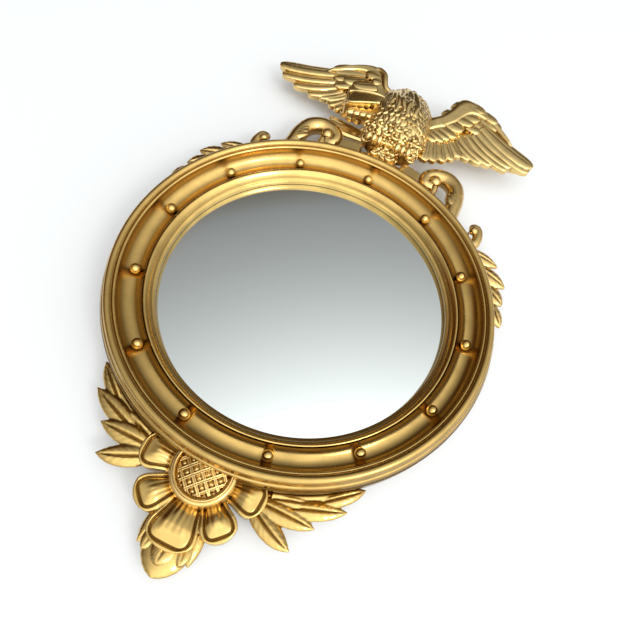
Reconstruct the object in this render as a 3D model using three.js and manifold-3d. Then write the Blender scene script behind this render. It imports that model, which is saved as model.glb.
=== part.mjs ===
// Girandole mirror: a turned gilt ring with thirteen balls round a convex glass,
// an eagle on scrolls at the crest and a flower drop with leaf sprays below.
//
// Millimetres. +X is the viewer's right, +Z is up, the front faces -Y and the wall is the plane y = 0.
// The origin is the hanging point, where the hook bears in the hanger ring.
//
// Inside the mirror group, x and z are measured from the ring's centre, and a depth h from the plane
// of the ball centres towards the front, so a point is at(x, z, h) = (x, -h, z).

import * as THREE from 'three';
import { mergeVertices } from 'three/addons/utils/BufferGeometryUtils.js';
import Module from 'manifold-3d';

const wasm = await Module();
wasm.setup();

// ---------------------------------------------------------------- driving dimensions

const SEAT = 0.3;              // gap left where one piece rests on another
const TRIM = 0.4;              // gap left where one carving is trimmed to another
const CUTTER_REACH = 60;       // cutting bodies run this far to the front, the back and inwards
const MERGE_TOLERANCE = 0.1;   // facets this close to flat are merged after a cut or join
const rad = THREE.MathUtils.degToRad;

// turned ring, from its outer edge inwards
const BALL_COUNT = 13;
const RING_SEGMENTS = 3 * BALL_COUNT;
const RING_OUTER_R = 203.5;
const SIDE_TOP_H = 1;
const SIDE_BACK_H = -14;       // the side wall ends here in a chamfer
const RING_BACK_H = -24;       // flat back of the ring
const BACK_CHAMFER = 6.5;
const BACK_OUTER_R = RING_OUTER_R - BACK_CHAMFER;
const RING_CROWN_H = 17;       // top of the outer torus
const TORUS_R = 4.1;
const TORUS_INSET = 5.2;       // from the side wall to the torus
const TORUS_CENTRE_R = RING_OUTER_R - TORUS_INSET - TORUS_R;
const SHOULDER = [[4.2, 8.6], [2.4, 7], [1.9, 4.4]];   // [inset, h] from the torus to the side wall
const GROOVE_WIDTH = 0.84;     // between the torus and the fillet
const GROOVE_DEPTH = 0.8;
const FILLET_WIDTH = 2.2;      // narrow step on the cove's outer edge
const FILLET_SLOPE = 0.8;
const FILLET_RISE = 1.4;
const COVE_R = 12.3;           // hollow that holds the balls
const COVE_CENTRE_H = 7.6;
const COVE_START = -150;
const COVE_END = 20;
const COVE_EDGE_R = TORUS_CENTRE_R - TORUS_R - GROOVE_WIDTH - FILLET_WIDTH;
const COVE_CENTRE_R = COVE_EDGE_R - COVE_R * Math.cos(rad(COVE_END));
const COVE_OFFSET = 0.5;       // cove centre outside the ball circle
const BALL_CIRCLE_R = COVE_CENTRE_R - COVE_OFFSET;
const BALL_R = 5.5;
const SPIGOT_R = 2;            // peg under each ball
const SPIGOT_LENGTH = 5.2;
const LIP_WIDTH = 0.85;
const LIP_R = COVE_CENTRE_R + COVE_R * Math.cos(rad(COVE_START)) - LIP_WIDTH;
const LIP_BACK_H = -6;
const LIP_LAP = 4;             // the lip covers this much of what lies in the rabbet
const RABBET_R = LIP_R + LIP_LAP;   // recess for slip, glass and board

// glazing
const SLIP_SHOW = 10.5;        // width of the slip inside the lip
const SIGHT_R = LIP_R - SLIP_SHOW;  // visible radius of the glass
const SLIP_STEPS = [[0, -7.2], [0.28, -5.9], [0.41, -2.2], [0.69, 1]];   // [share of the slip's face, h]
const SLIP_CROWN_H = 2.1;
const SLIP_EDGE = 1.1;
const SLIP_BACK_H = -12.7;
const GLASS_THICKNESS = 3;
const GLASS_SPHERE_R = 1400;   // radius of the convex face
const SPACER_WIDTH = 9;
const BOARD_THICKNESS = 3;
const BOARD_RECESS = 0.6;      // board's back face lies this far inside the ring's back

// turn buttons on the back
const BUTTON_COUNT = 4;
const BUTTON_LENGTH = 22;
const BUTTON_WIDTH = 9;
const BUTTON_THICKNESS = 1.2;
const BUTTON_INSET = 5;        // pivot outside the rabbet
const BUTTON_PIVOT_R = RABBET_R + BUTTON_INSET;
const SCREW_R = 1.6;
const SCREW_DEPTH = 9;
const SCREW_HEAD_R = 3.2;
const SCREW_HEAD_HEIGHT = 1.6;
const HOLE_RELIEF = 1;         // drills start this far outside the face

// hanging hardware
const WALL_GAP = 6.5;          // from the ring's back to the wall
const BUMPER_R = 7;
const BUMPER_HALF_ANGLE = 35;  // degrees each side of the bottom
const PLATE_THICKNESS = 1.5;
const CREST_PLATE_WIDTH = 60;
const CREST_PLATE_LAP = 19.5;  // over the ring
const CREST_PLATE_RISE = 17.5; // over the plinth
const CREST_PLATE_BOTTOM = RING_OUTER_R - CREST_PLATE_LAP;
const CREST_PLATE_TOP = RING_OUTER_R + CREST_PLATE_RISE;
const CREST_SCREW_EDGE = 7;    // screws inside the plate's top and side edges
const CREST_SCREW_FOOT = 6;    // screws above the plate's bottom edge
const CREST_SCREW_X = CREST_PLATE_WIDTH / 2 - CREST_SCREW_EDGE;
const CREST_SCREW_Z = [CREST_PLATE_BOTTOM + CREST_SCREW_FOOT, CREST_PLATE_TOP - CREST_SCREW_EDGE];
const KNUCKLE_RISE = 2.6;      // knuckle's middle above the plate
const KNUCKLE_Z = CREST_PLATE_TOP + KNUCKLE_RISE;
const KNUCKLE_WIDTH = 8;
const KNUCKLE_WALL = 0.8;
const HOOP_WIRE_R = 1.1;
const HOOP_HALF_WIDTH = 9;
const HOOP_STRAIGHT = 6;
const DROP_PLATE_WIDTH = 16;
const DROP_PLATE_LAP = 21.5;   // over the ring
const DROP_PLATE_REACH = 22.5; // over the flower's hub
const DROP_PLATE_TOP = DROP_PLATE_LAP - RING_OUTER_R;
const DROP_PLATE_BOTTOM = -RING_OUTER_R - DROP_PLATE_REACH;
const DROP_SCREW_EDGE = 8;
const DROP_SCREW_Z = [DROP_PLATE_TOP - DROP_SCREW_EDGE, DROP_PLATE_BOTTOM + DROP_SCREW_EDGE];

// crest
const EAGLE_X = 3;             // the eagle's middle
const PLINTH_RISE = 21;        // above the ring
const PLINTH_TOP = RING_OUTER_R + PLINTH_RISE;
const PLINTH_STEP = 3.5;       // side blocks below the middle one
const PLINTH_SIDE_TOP = PLINTH_TOP - PLINTH_STEP;
const PLINTH_SIDE_FALL = 6.5;  // slope of the side blocks' tops
const PLINTH_ROOT = 23.5;      // reach inside the ring's edge before it is trimmed
const PLINTH_HALF_WIDTH = 55;
const PLINTH_BLOCK_HALF_WIDTH = 18;
const PLINTH_SLOT = 4;
const PLINTH_SLOT_DEPTH = 12.5;
const PLINTH_SLOT_BOTTOM = PLINTH_TOP - PLINTH_SLOT_DEPTH;
const PLINTH_FRONT_H = 6;
const BODY_HEIGHT = 111;
const SHOULDER_DROP = 35.8;    // wings and head are drawn from this level under the crown
const WING_CORE = 5;
const FOOT_SPACING = 38;
const TOE_R = 3.6;
const CLAW_TAPER = 2.6;
const SCROLL_X = 86;
const SCROLL_H = -8;
const SCROLL_R = 8.4;
const SCROLL_TAPER = 3;
const SCROLL_EYE_R = 7;
const WRAP_HALF_WIDTH = 9.5;   // leaf wrapped round the scroll
const WRAP_CROWN = 6;
const VOLUTE_ARC = 158.5;      // along the ring's edge, from its top
const VOLUTE_R = 5.2;
const VOLUTE_TAPER = 0.6;
const STEM_R = 4.5;
const STEM_OFFSET = 2;         // stem's middle outside the ring

// drop
const FLOWER_X = -1;
const FLOWER_DROP = 1.5;       // flower's middle below the ring
const FLOWER_Z = -RING_OUTER_R - FLOWER_DROP;
const BOSS_SEAT_H = -8;
const BOSS_RISE = 14;          // crown of the domed seed head above its seat
const BOSS_DOME_R = 60;
const BOSS_CELLS = 6;
const BOSS_R = 22.5;
const PIT_DEPTH = 3;
const BOSS_RIM_R = 31;
const BOSS_RIM_WIDTH = 7.4;
const PETAL_BACK_H = -20;
const HUB_INSET = 1;           // hub inside the boss rim
const HUB_R = BOSS_RIM_R - HUB_INSET;
const LEAF_BACK = 3;
const LEAF_H = -11;            // middle lines of the leaves

// ---------------------------------------------------------------- materials

const gilt = () => new THREE.MeshStandardMaterial({ color: 0xc79a4b, roughness: 0.32, metalness: 0.9 });
const giltBright = () => new THREE.MeshStandardMaterial({ color: 0xd9b164, roughness: 0.28, metalness: 0.9 });
const silvered = () => new THREE.MeshStandardMaterial({ color: 0xdfe4e6, roughness: 0.03, metalness: 1 });
const steel = () => new THREE.MeshStandardMaterial({ color: 0xb4b6b8, roughness: 0.4, metalness: 0.9 });
const brass = () => new THREE.MeshStandardMaterial({ color: 0xb5965a, roughness: 0.4, metalness: 0.9 });
const board = () => new THREE.MeshStandardMaterial({ color: 0x8a6a45, roughness: 0.85, metalness: 0 });
const felt = () => new THREE.MeshStandardMaterial({ color: 0x4a4a48, roughness: 0.95, metalness: 0 });

// ---------------------------------------------------------------- geometry helpers

const FRONT = new THREE.Vector3(0, -1, 0);

function at(x, z, h) {
  return new THREE.Vector3(x, -h, z);
}

function signedVolume(position, index) {
  const a = new THREE.Vector3();
  const b = new THREE.Vector3();
  const c = new THREE.Vector3();
  let volume = 0;
  for (let i = 0; i < index.length; i += 3) {
    a.fromBufferAttribute(position, index[i]);
    b.fromBufferAttribute(position, index[i + 1]);
    c.fromBufferAttribute(position, index[i + 2]);
    volume += a.dot(b.cross(c)) / 6;
  }
  return volume;
}

// One closed body: shared corners merged, empty triangles dropped, faces turned outwards.
function closed(geometry) {
  geometry.deleteAttribute('normal');
  geometry.deleteAttribute('uv');
  const merged = mergeVertices(geometry, 1e-4);
  const source = merged.index.array;
  const kept = [];
  for (let i = 0; i < source.length; i += 3) {
    const [a, b, c] = [source[i], source[i + 1], source[i + 2]];
    if (a !== b && b !== c && c !== a) kept.push(a, b, c);
  }
  if (signedVolume(merged.attributes.position, kept) < 0) kept.reverse();
  merged.setIndex(kept);
  return merged;
}

function toManifold(geometry) {
  return new wasm.Manifold(new wasm.Mesh({
    numProp: 3,
    vertProperties: new Float32Array(geometry.attributes.position.array),
    triVerts: new Uint32Array(geometry.index.array),
  }));
}

function fromManifold(body) {
  const mesh = body.asOriginal().simplify(MERGE_TOLERANCE).getMesh();
  const geometry = new THREE.BufferGeometry();
  geometry.setAttribute('position', new THREE.BufferAttribute(new Float32Array(mesh.vertProperties), 3));
  geometry.setIndex([...mesh.triVerts]);
  return geometry;
}

function join(...geometries) {
  return fromManifold(geometries.map(toManifold).reduce((sum, body) => sum.add(body)));
}

function cut(geometry, ...tools) {
  const rest = tools.map(toManifold).reduce((body, tool) => body.subtract(tool), toManifold(geometry));
  return fromManifold(rest);
}

function common(geometry, tool) {
  return fromManifold(toManifold(geometry).intersect(toManifold(tool)));
}

// A turned body about the depth axis, from profile points [radius, h].
function turned(profile, segments) {
  const points = profile.map(([r, h]) => new THREE.Vector2(r, -h));
  return closed(new THREE.LatheGeometry(points, segments));
}

function arc(centreR, centreH, radius, from, to, steps) {
  const points = [];
  for (let i = 0; i <= steps; i += 1) {
    const angle = rad(from + (to - from) * i / steps);
    points.push([centreR + radius * Math.cos(angle), centreH + radius * Math.sin(angle)]);
  }
  return points;
}

// A skin through rings of equal count. A ring of one point closes to a tip.
function loft(rings) {
  const positions = [];
  const index = [];
  const starts = rings.map((ring) => {
    const start = positions.length / 3;
    ring.forEach((p) => positions.push(p.x, p.y, p.z));
    return start;
  });
  for (let i = 0; i + 1 < rings.length; i += 1) {
    const [n, m] = [rings[i].length, rings[i + 1].length];
    const count = Math.max(n, m);
    for (let j = 0; j < count; j += 1) {
      const k = (j + 1) % count;
      const [a, b] = n === 1 ? [starts[i], starts[i]] : [starts[i] + j, starts[i] + k];
      const [c, d] = m === 1 ? [starts[i + 1], starts[i + 1]] : [starts[i + 1] + j, starts[i + 1] + k];
      if (m > 1) index.push(a, c, d);
      if (n > 1) index.push(a, d, b);
    }
  }
  capEnd(rings[0], starts[0], positions, index, true);
  capEnd(rings.at(-1), starts.at(-1), positions, index, false);
  const geometry = new THREE.BufferGeometry();
  geometry.setAttribute('position', new THREE.Float32BufferAttribute(positions, 3));
  geometry.setIndex(index);
  return closed(geometry);
}

function capEnd(ring, start, positions, index, first) {
  if (ring.length === 1) return;
  const centre = ring.reduce((sum, p) => sum.add(p), new THREE.Vector3()).divideScalar(ring.length);
  const middle = positions.length / 3;
  positions.push(centre.x, centre.y, centre.z);
  ring.forEach((_, j) => {
    const k = (j + 1) % ring.length;
    if (first) index.push(middle, start + j, start + k);
    else index.push(middle, start + k, start + j);
  });
}

// A round bar along a curve; radius is a function of 0..1.
function bar(curve, radius, steps, sides, flatten = 1) {
  const rings = [];
  for (let i = 0; i <= steps; i += 1) {
    const t = i / steps;
    const centre = curve.getPoint(t);
    const tangent = curve.getTangent(t);
    const side = new THREE.Vector3().crossVectors(tangent, FRONT).normalize();
    const up = new THREE.Vector3().crossVectors(side, tangent).normalize();
    const ring = [];
    for (let j = 0; j < sides; j += 1) {
      const angle = 2 * Math.PI * j / sides;
      ring.push(centre.clone()
        .addScaledVector(side, radius(t) * Math.cos(angle))
        .addScaledVector(up, radius(t) * flatten * Math.sin(angle)));
    }
    rings.push(ring);
  }
  return loft(rings);
}

// Outlines along a leaf or feather: [place 0..1 from root to tip, share of the half width].
const LEAF = [[0, 0.45], [0.28, 0.92], [0.52, 1], [0.78, 0.74], [1, 0]];
const FEATHER = [[0, 0.85], [0.8, 0.98], [1, 0.42]];
const LOBE = [[0, 0.9], [0.7, 1], [1, 0.4]];
const BUD = [[0, 0.86], [0.38, 1], [0.72, 0.8], [0.92, 0.44], [1, 0]];

// A leaf or feather: a crowned strip along a bent line from root to tip, both [x, z, h].
function blade({ root, tip, bend = 0, half, crown, vein = 1, back, outline }) {
  const start = at(...root);
  const end = at(...tip);
  const along = end.clone().sub(start);
  const across = new THREE.Vector3().crossVectors(along, FRONT).normalize();
  const middle = start.clone().lerp(end, 0.5).addScaledVector(across, bend);
  const curve = new THREE.QuadraticBezierCurve3(start, middle, end);
  return loft(outline.map(([t, share]) => {
    const centre = curve.getPoint(t);
    const side = new THREE.Vector3().crossVectors(curve.getTangent(t), FRONT).normalize();
    if (share === 0) return [centre];
    const w = half * share;
    const place = (s, h) => centre.clone().addScaledVector(side, s * w).addScaledVector(FRONT, h);
    const rise = crown * (0.35 + 0.65 * share);
    const groove = vein < 1 ? [place(0, rise * vein)] : [];
    return [place(-1, 0), place(-0.5, rise), ...groove, place(0.5, rise), place(1, 0), place(0, -back)];
  }));
}

function extruded(outline, backH, frontH) {
  const shape = new THREE.Shape(outline.map(([x, z]) => new THREE.Vector2(x, z)));
  const geometry = new THREE.ExtrudeGeometry(shape, { depth: frontH - backH, bevelEnabled: false });
  geometry.rotateX(Math.PI / 2);
  geometry.translate(0, -backH, 0);
  return closed(geometry);
}

// A cylinder along the depth axis.
function post(x, z, backH, frontH, radius, sides) {
  const geometry = new THREE.CylinderGeometry(radius, radius, frontH - backH, sides);
  geometry.translate(x, -(frontH + backH) / 2, z);
  return closed(geometry);
}

function onCircle(radius, degreesFromTop) {
  const angle = rad(degreesFromTop);
  return [radius * Math.sin(angle), radius * Math.cos(angle)];
}

// Point outside the ring's edge, at a length along the edge from its top: [x, z].
function onEdge(arcLength, out = 0) {
  return onCircle(RING_OUTER_R + out, THREE.MathUtils.radToDeg(arcLength / RING_OUTER_R));
}

// A box of cutting depth with the given outline.
function slab(outline) {
  return extruded(outline, -CUTTER_REACH, CUTTER_REACH);
}

// ---------------------------------------------------------------- assembly

const object = new THREE.Group();
const mirror = new THREE.Group();
const HOOP_TOP_Z = KNUCKLE_Z + HOOP_STRAIGHT + HOOP_HALF_WIDTH - HOOP_WIRE_R;
mirror.position.set(0, RING_BACK_H - WALL_GAP, -HOOP_TOP_Z);
object.add(mirror);

function add(name, geometry, material) {
  const mesh = new THREE.Mesh(geometry, material);
  mesh.name = name;
  geometry.computeVertexNormals();
  mirror.add(mesh);
  return mesh;
}

// ---------------------------------------------------------------- turned ring and balls

function ringProfile() {
  const cove = arc(COVE_CENTRE_R, COVE_CENTRE_H, COVE_R, COVE_START, COVE_END, 6);
  const coveOuter = cove.at(-1);
  const torus = arc(TORUS_CENTRE_R, RING_CROWN_H - TORUS_R, TORUS_R, 180, 0, 4);
  return [
    [LIP_R, LIP_BACK_H],
    [LIP_R, cove[0][1]],
    ...cove,
    [coveOuter[0] + FILLET_SLOPE, coveOuter[1] + FILLET_RISE],
    [coveOuter[0] + FILLET_WIDTH, coveOuter[1] + FILLET_RISE],
    [torus[0][0], torus[0][1] - GROOVE_DEPTH],
    ...torus,
    ...SHOULDER.map(([inset, h]) => [RING_OUTER_R - inset, h]),
    [RING_OUTER_R, SIDE_TOP_H],
    [RING_OUTER_R, SIDE_BACK_H],
    [BACK_OUTER_R, RING_BACK_H],
    [RABBET_R, RING_BACK_H],
    [RABBET_R, LIP_BACK_H],
    [LIP_R, LIP_BACK_H],
  ];
}

const ballAngles = Array.from({ length: BALL_COUNT }, (_, i) => 360 * i / BALL_COUNT);

// The ball is cut off where it would come closer to the cove than its seat.
function ballSeatAngle() {
  const reach = Math.hypot(COVE_OFFSET, COVE_CENTRE_H);
  const cosine = (BALL_R ** 2 + reach ** 2 - (COVE_R - SEAT) ** 2) / (2 * BALL_R * reach);
  return Math.atan2(COVE_CENTRE_H, COVE_OFFSET) + Math.acos(Math.max(-1, cosine));
}
const BALL_SEAT_H = BALL_R * Math.sin(ballSeatAngle());
const SPIGOT_END_H = BALL_SEAT_H - SPIGOT_LENGTH;

function ball() {
  const seat = THREE.MathUtils.radToDeg(Math.asin(BALL_SEAT_H / BALL_R));
  return turned([
    ...arc(0, 0, BALL_R, 90, seat, 4),
    [SPIGOT_R, BALL_SEAT_H],
    [SPIGOT_R, SPIGOT_END_H],
    [0, SPIGOT_END_H],
  ], 8);
}

const buttonAngles = Array.from({ length: BUTTON_COUNT }, (_, i) => 45 + 360 * i / BUTTON_COUNT);
const crestScrews = CREST_SCREW_Z.flatMap((z) => [[-CREST_SCREW_X, z], [CREST_SCREW_X, z]]);
const dropScrews = DROP_SCREW_Z.map((z) => [FLOWER_X, z]);
const screwEndH = RING_BACK_H + SCREW_DEPTH;
const screwHole = (x, z) => post(x, z, RING_BACK_H - HOLE_RELIEF, screwEndH + SEAT, SCREW_R + SEAT, 6);

const ballSockets = ballAngles.map((angle) => {
  const [x, z] = onCircle(BALL_CIRCLE_R, angle);
  return post(x, z, SPIGOT_END_H - SEAT, 0, SPIGOT_R + 2 * SEAT, 6);
});
const ringScrews = [
  ...buttonAngles.map((angle) => onCircle(BUTTON_PIVOT_R, angle)),
  ...crestScrews,
  ...dropScrews,
].filter(([x, z]) => Math.hypot(x, z) < BACK_OUTER_R);

add('frame_ring', cut(
  turned(ringProfile(), RING_SEGMENTS),
  ...ballSockets,
  ...ringScrews.map(([x, z]) => screwHole(x, z)),
), gilt());

ballAngles.forEach((angle, i) => {
  const [x, z] = onCircle(BALL_CIRCLE_R, angle);
  const mesh = add(`ball_${String(i + 1).padStart(2, '0')}`, ball(), giltBright());
  mesh.position.set(x, 0, z);
});

// Everything fixed to the outside of the ring is trimmed to it.
const ringEnvelope = turned([
  [0, -CUTTER_REACH],
  [RING_OUTER_R + SEAT, -CUTTER_REACH],
  [RING_OUTER_R + SEAT, CUTTER_REACH],
  [0, CUTTER_REACH],
], RING_SEGMENTS);

// ---------------------------------------------------------------- glazing and back

const slipOuterR = RABBET_R - SEAT;
const slipFaceR = LIP_R - SEAT;

add('sight_slip', turned([
  [SIGHT_R, SLIP_BACK_H],
  ...SLIP_STEPS.map(([share, h]) => [THREE.MathUtils.lerp(SIGHT_R, slipFaceR, share), h]),
  [slipFaceR - SLIP_EDGE, SLIP_CROWN_H],
  [slipFaceR, SLIP_CROWN_H - SLIP_EDGE / 2],
  [slipFaceR, LIP_BACK_H - SEAT],
  [slipOuterR, LIP_BACK_H - SEAT],
  [slipOuterR, SLIP_BACK_H],
  [SIGHT_R, SLIP_BACK_H],
], RING_SEGMENTS), gilt());

const glassR = RABBET_R - 2 * SEAT;
const glassFaceH = (r) => SLIP_BACK_H - SEAT + (SIGHT_R ** 2 - r ** 2) / (2 * GLASS_SPHERE_R);
const glassRadii = [0, 0.36, 0.7, 1].map((share) => share * glassR);
const glassBackRadii = [1, 0.55, 0].map((share) => share * glassR);

add('mirror_glass', turned([
  ...glassRadii.map((r) => [r, glassFaceH(r)]),
  ...glassBackRadii.map((r) => [r, glassFaceH(r) - GLASS_THICKNESS]),
], RING_SEGMENTS), silvered());

const boardBackH = RING_BACK_H + BOARD_RECESS;
const boardFrontH = boardBackH + BOARD_THICKNESS;
const spacerFrontH = glassFaceH(glassR) - GLASS_THICKNESS - SEAT;

add('spacer_ring', turned([
  [glassR - SPACER_WIDTH, boardFrontH + SEAT],
  [glassR - SPACER_WIDTH, spacerFrontH],
  [glassR, spacerFrontH],
  [glassR, boardFrontH + SEAT],
  [glassR - SPACER_WIDTH, boardFrontH + SEAT],
], RING_SEGMENTS), board());

add('backing_board', turned([
  [0, boardBackH],
  [glassR, boardBackH],
  [glassR, boardFrontH],
  [0, boardFrontH],
], RING_SEGMENTS), board());

const buttonFrontH = RING_BACK_H - SEAT;
const buttonBackH = buttonFrontH - BUTTON_THICKNESS;

// A round-ended strip whose long end reaches over the board.
function turnButton() {
  const end = BUTTON_WIDTH / 2;
  const inner = BUTTON_LENGTH - 2 * end;
  const outline = [
    ...arc(0, 0, end, 0, 180, 4),
    ...arc(0, -inner, end, 180, 360, 4),
  ];
  return cut(
    extruded(outline, buttonBackH, buttonFrontH),
    post(0, 0, buttonBackH - HOLE_RELIEF, buttonFrontH + HOLE_RELIEF, SCREW_R + SEAT, 8),
  );
}

// A pan-head screw whose head lies under (behind) seatH.
function screw(seatH, endH) {
  return turned([
    [0, endH],
    [SCREW_R, endH],
    [SCREW_R, seatH - SEAT],
    [SCREW_HEAD_R, seatH - SEAT],
    [SCREW_HEAD_R * 0.75, seatH - SEAT - SCREW_HEAD_HEIGHT],
    [0, seatH - SEAT - SCREW_HEAD_HEIGHT],
  ], 6);
}

buttonAngles.forEach((angle, i) => {
  const [x, z] = onCircle(BUTTON_PIVOT_R, angle);
  const button = add(`turn_button_${i + 1}`, turnButton(), brass());
  button.position.set(x, 0, z);
  button.rotation.y = rad(angle);
  const fixing = add(`turn_screw_${i + 1}`, screw(buttonBackH, screwEndH), brass());
  fixing.position.set(x, 0, z);
});

// ---------------------------------------------------------------- hanging hardware

const plateFrontH = RING_BACK_H - SEAT;
const plateBackH = plateFrontH - PLATE_THICKNESS;
const knuckleOuterR = HOOP_WIRE_R + SEAT + KNUCKLE_WALL;
const hoopH = plateBackH - knuckleOuterR + KNUCKLE_WALL;

function strip(left, right, bottom, top) {
  return extruded([[left, bottom], [right, bottom], [right, top], [left, top]], plateBackH, plateFrontH);
}

function plateHole([x, z]) {
  return post(x, z, plateBackH - HOLE_RELIEF, plateFrontH + HOLE_RELIEF, SCREW_R + SEAT, 8);
}

function barAlongX(x0, x1, z, h, radius, sides) {
  const geometry = new THREE.CylinderGeometry(radius, radius, x1 - x0, sides);
  geometry.rotateZ(Math.PI / 2);
  geometry.translate((x0 + x1) / 2, -h, z);
  return closed(geometry);
}

function crestPlate() {
  const half = CREST_PLATE_WIDTH / 2;
  const flat = strip(-half, half, CREST_PLATE_BOTTOM, CREST_PLATE_TOP);
  const tongue = strip(-KNUCKLE_WIDTH / 2, KNUCKLE_WIDTH / 2, CREST_PLATE_TOP - HOLE_RELIEF, KNUCKLE_Z);
  const curl = barAlongX(-KNUCKLE_WIDTH / 2, KNUCKLE_WIDTH / 2, KNUCKLE_Z, hoopH, knuckleOuterR, 12);
  const bore = barAlongX(-KNUCKLE_WIDTH, KNUCKLE_WIDTH, KNUCKLE_Z, hoopH, HOOP_WIRE_R + SEAT, 12);
  return cut(join(flat, tongue, curl), bore, ...crestScrews.map(plateHole));
}

// Half-round wire loop with a straight bar through the knuckle.
function hangerHoop() {
  const path = [
    [-HOOP_HALF_WIDTH, 0],
    [HOOP_HALF_WIDTH, 0],
    ...arc(0, HOOP_STRAIGHT, HOOP_HALF_WIDTH, 0, 180, 10),
  ];
  const count = path.length;
  const sides = 8;
  const positions = [];
  const index = [];
  path.forEach(([x, z], i) => {
    const [px, pz] = path[(i + count - 1) % count];
    const [nx, nz] = path[(i + 1) % count];
    const arriving = new THREE.Vector2(x - px, z - pz).normalize();
    const leaving = new THREE.Vector2(nx - x, nz - z).normalize();
    const tangent = arriving.clone().add(leaving).normalize();
    const stretch = 1 / Math.max(0.5, tangent.dot(arriving));
    for (let j = 0; j < sides; j += 1) {
      const angle = 2 * Math.PI * (j + 0.5) / sides;
      const out = HOOP_WIRE_R * Math.cos(angle) * stretch;
      positions.push(
        x + tangent.y * out,
        -hoopH + HOOP_WIRE_R * Math.sin(angle),
        KNUCKLE_Z + z - tangent.x * out,
      );
    }
    for (let j = 0; j < sides; j += 1) {
      const k = (j + 1) % sides;
      const next = ((i + 1) % count) * sides;
      index.push(i * sides + j, next + j, next + k, i * sides + j, next + k, i * sides + k);
    }
  });
  const geometry = new THREE.BufferGeometry();
  geometry.setAttribute('position', new THREE.Float32BufferAttribute(positions, 3));
  geometry.setIndex(index);
  return closed(geometry);
}

add('crest_plate', crestPlate(), steel());
add('hanger_ring', hangerHoop(), steel());

const dropPlate = strip(
  FLOWER_X - DROP_PLATE_WIDTH / 2,
  FLOWER_X + DROP_PLATE_WIDTH / 2,
  DROP_PLATE_BOTTOM,
  DROP_PLATE_TOP,
);
add('drop_plate', cut(dropPlate, ...dropScrews.map(plateHole)), steel());

function addPlateScrews(prefix, places) {
  places.forEach(([x, z], i) => {
    const mesh = add(`${prefix}_${i + 1}`, screw(plateBackH, screwEndH), steel());
    mesh.position.set(x, 0, z);
  });
}
addPlateScrews('crest_screw', crestScrews);
addPlateScrews('drop_screw', dropScrews);

[['bumper_left', -1], ['bumper_right', 1]].forEach(([name, side]) => {
  const [x, z] = onCircle((BACK_OUTER_R + RABBET_R) / 2, 180 - side * BUMPER_HALF_ANGLE);
  add(name, post(x, z, RING_BACK_H - WALL_GAP, RING_BACK_H - SEAT, BUMPER_R, 16), felt());
});

// ---------------------------------------------------------------- crest: plinth and eagle

function plinth() {
  const [left, right] = [EAGLE_X - PLINTH_BLOCK_HALF_WIDTH, EAGLE_X + PLINTH_BLOCK_HALF_WIDTH];
  const shoulder = PLINTH_SIDE_TOP - PLINTH_SIDE_FALL;
  const root = RING_OUTER_R - PLINTH_ROOT;
  const outline = [
    [-PLINTH_HALF_WIDTH, root],
    [-PLINTH_HALF_WIDTH, shoulder],
    [left - PLINTH_SLOT, PLINTH_SIDE_TOP],
    [left - PLINTH_SLOT, PLINTH_SLOT_BOTTOM],
    [left, PLINTH_SLOT_BOTTOM],
    [left, PLINTH_TOP],
    [right, PLINTH_TOP],
    [right, PLINTH_SLOT_BOTTOM],
    [right + PLINTH_SLOT, PLINTH_SLOT_BOTTOM],
    [right + PLINTH_SLOT, PLINTH_SIDE_TOP],
    [PLINTH_HALF_WIDTH, shoulder],
    [PLINTH_HALF_WIDTH, root],
  ].reverse();
  const holes = crestScrews.filter(([, z]) => z > BACK_OUTER_R).map(([x, z]) => screwHole(x, z));
  return cut(extruded(outline, RING_BACK_H, PLINTH_FRONT_H), ringEnvelope, ...holes);
}
add('plinth', plinth(), gilt());

// Breast and arched neck: level ellipses [height share, x off the middle, half width, middle h, half depth].
const BODY_SECTIONS = [
  [0, 0, 31, 2, 14],
  [0.12, 0, 37, 5, 20],
  [0.33, 0, 38, 8, 25],
  [0.54, -1, 36, 9, 25],
  [0.72, -2, 33, 8, 21],
  [0.86, -4, 26, 7, 16],
  [0.96, -5, 15, 6, 10],
  [1, -5, 0, 6, 0],
];
const BODY_BOTTOM = PLINTH_TOP + SEAT;
const SHOULDER_Z = BODY_BOTTOM + BODY_HEIGHT - SHOULDER_DROP;

function eagleBody(grow) {
  const sides = 14;
  return loft(BODY_SECTIONS.map(([share, dx, halfWidth, middleH, halfDepth], i) => {
    const down = i === 0 ? -grow : 0;
    const z = BODY_BOTTOM + share * BODY_HEIGHT + down;
    const x = EAGLE_X + dx;
    if (halfWidth === 0) return [at(x, z + grow, middleH)];
    return Array.from({ length: sides }, (_, j) => {
      const angle = 2 * Math.PI * j / sides;
      return at(x + (halfWidth + grow) * Math.cos(angle), z, middleH + (halfDepth + grow) * Math.sin(angle));
    });
  }));
}
const bodyEnvelope = eagleBody(TRIM);
add('eagle_body', eagleBody(0), gilt());

// Head turned to the viewer's left and held low: squared cheeks, rounded crown, blunt heavy beak.
// Sections run from the neck to the beak: [x, crown z, chin z, back h, front h], from the shoulder level.
const HEAD_SECTIONS = [
  [-19, -3, -28, -2, 20],
  [-33, 1, -28, -4, 26],
  [-49, 0, -36, -5, 28],
  [-63, -5, -42, -4, 27],
  [-72, -12, -45, -2, 24],
  [-76, -20, -42, 2, 20],
];

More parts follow.
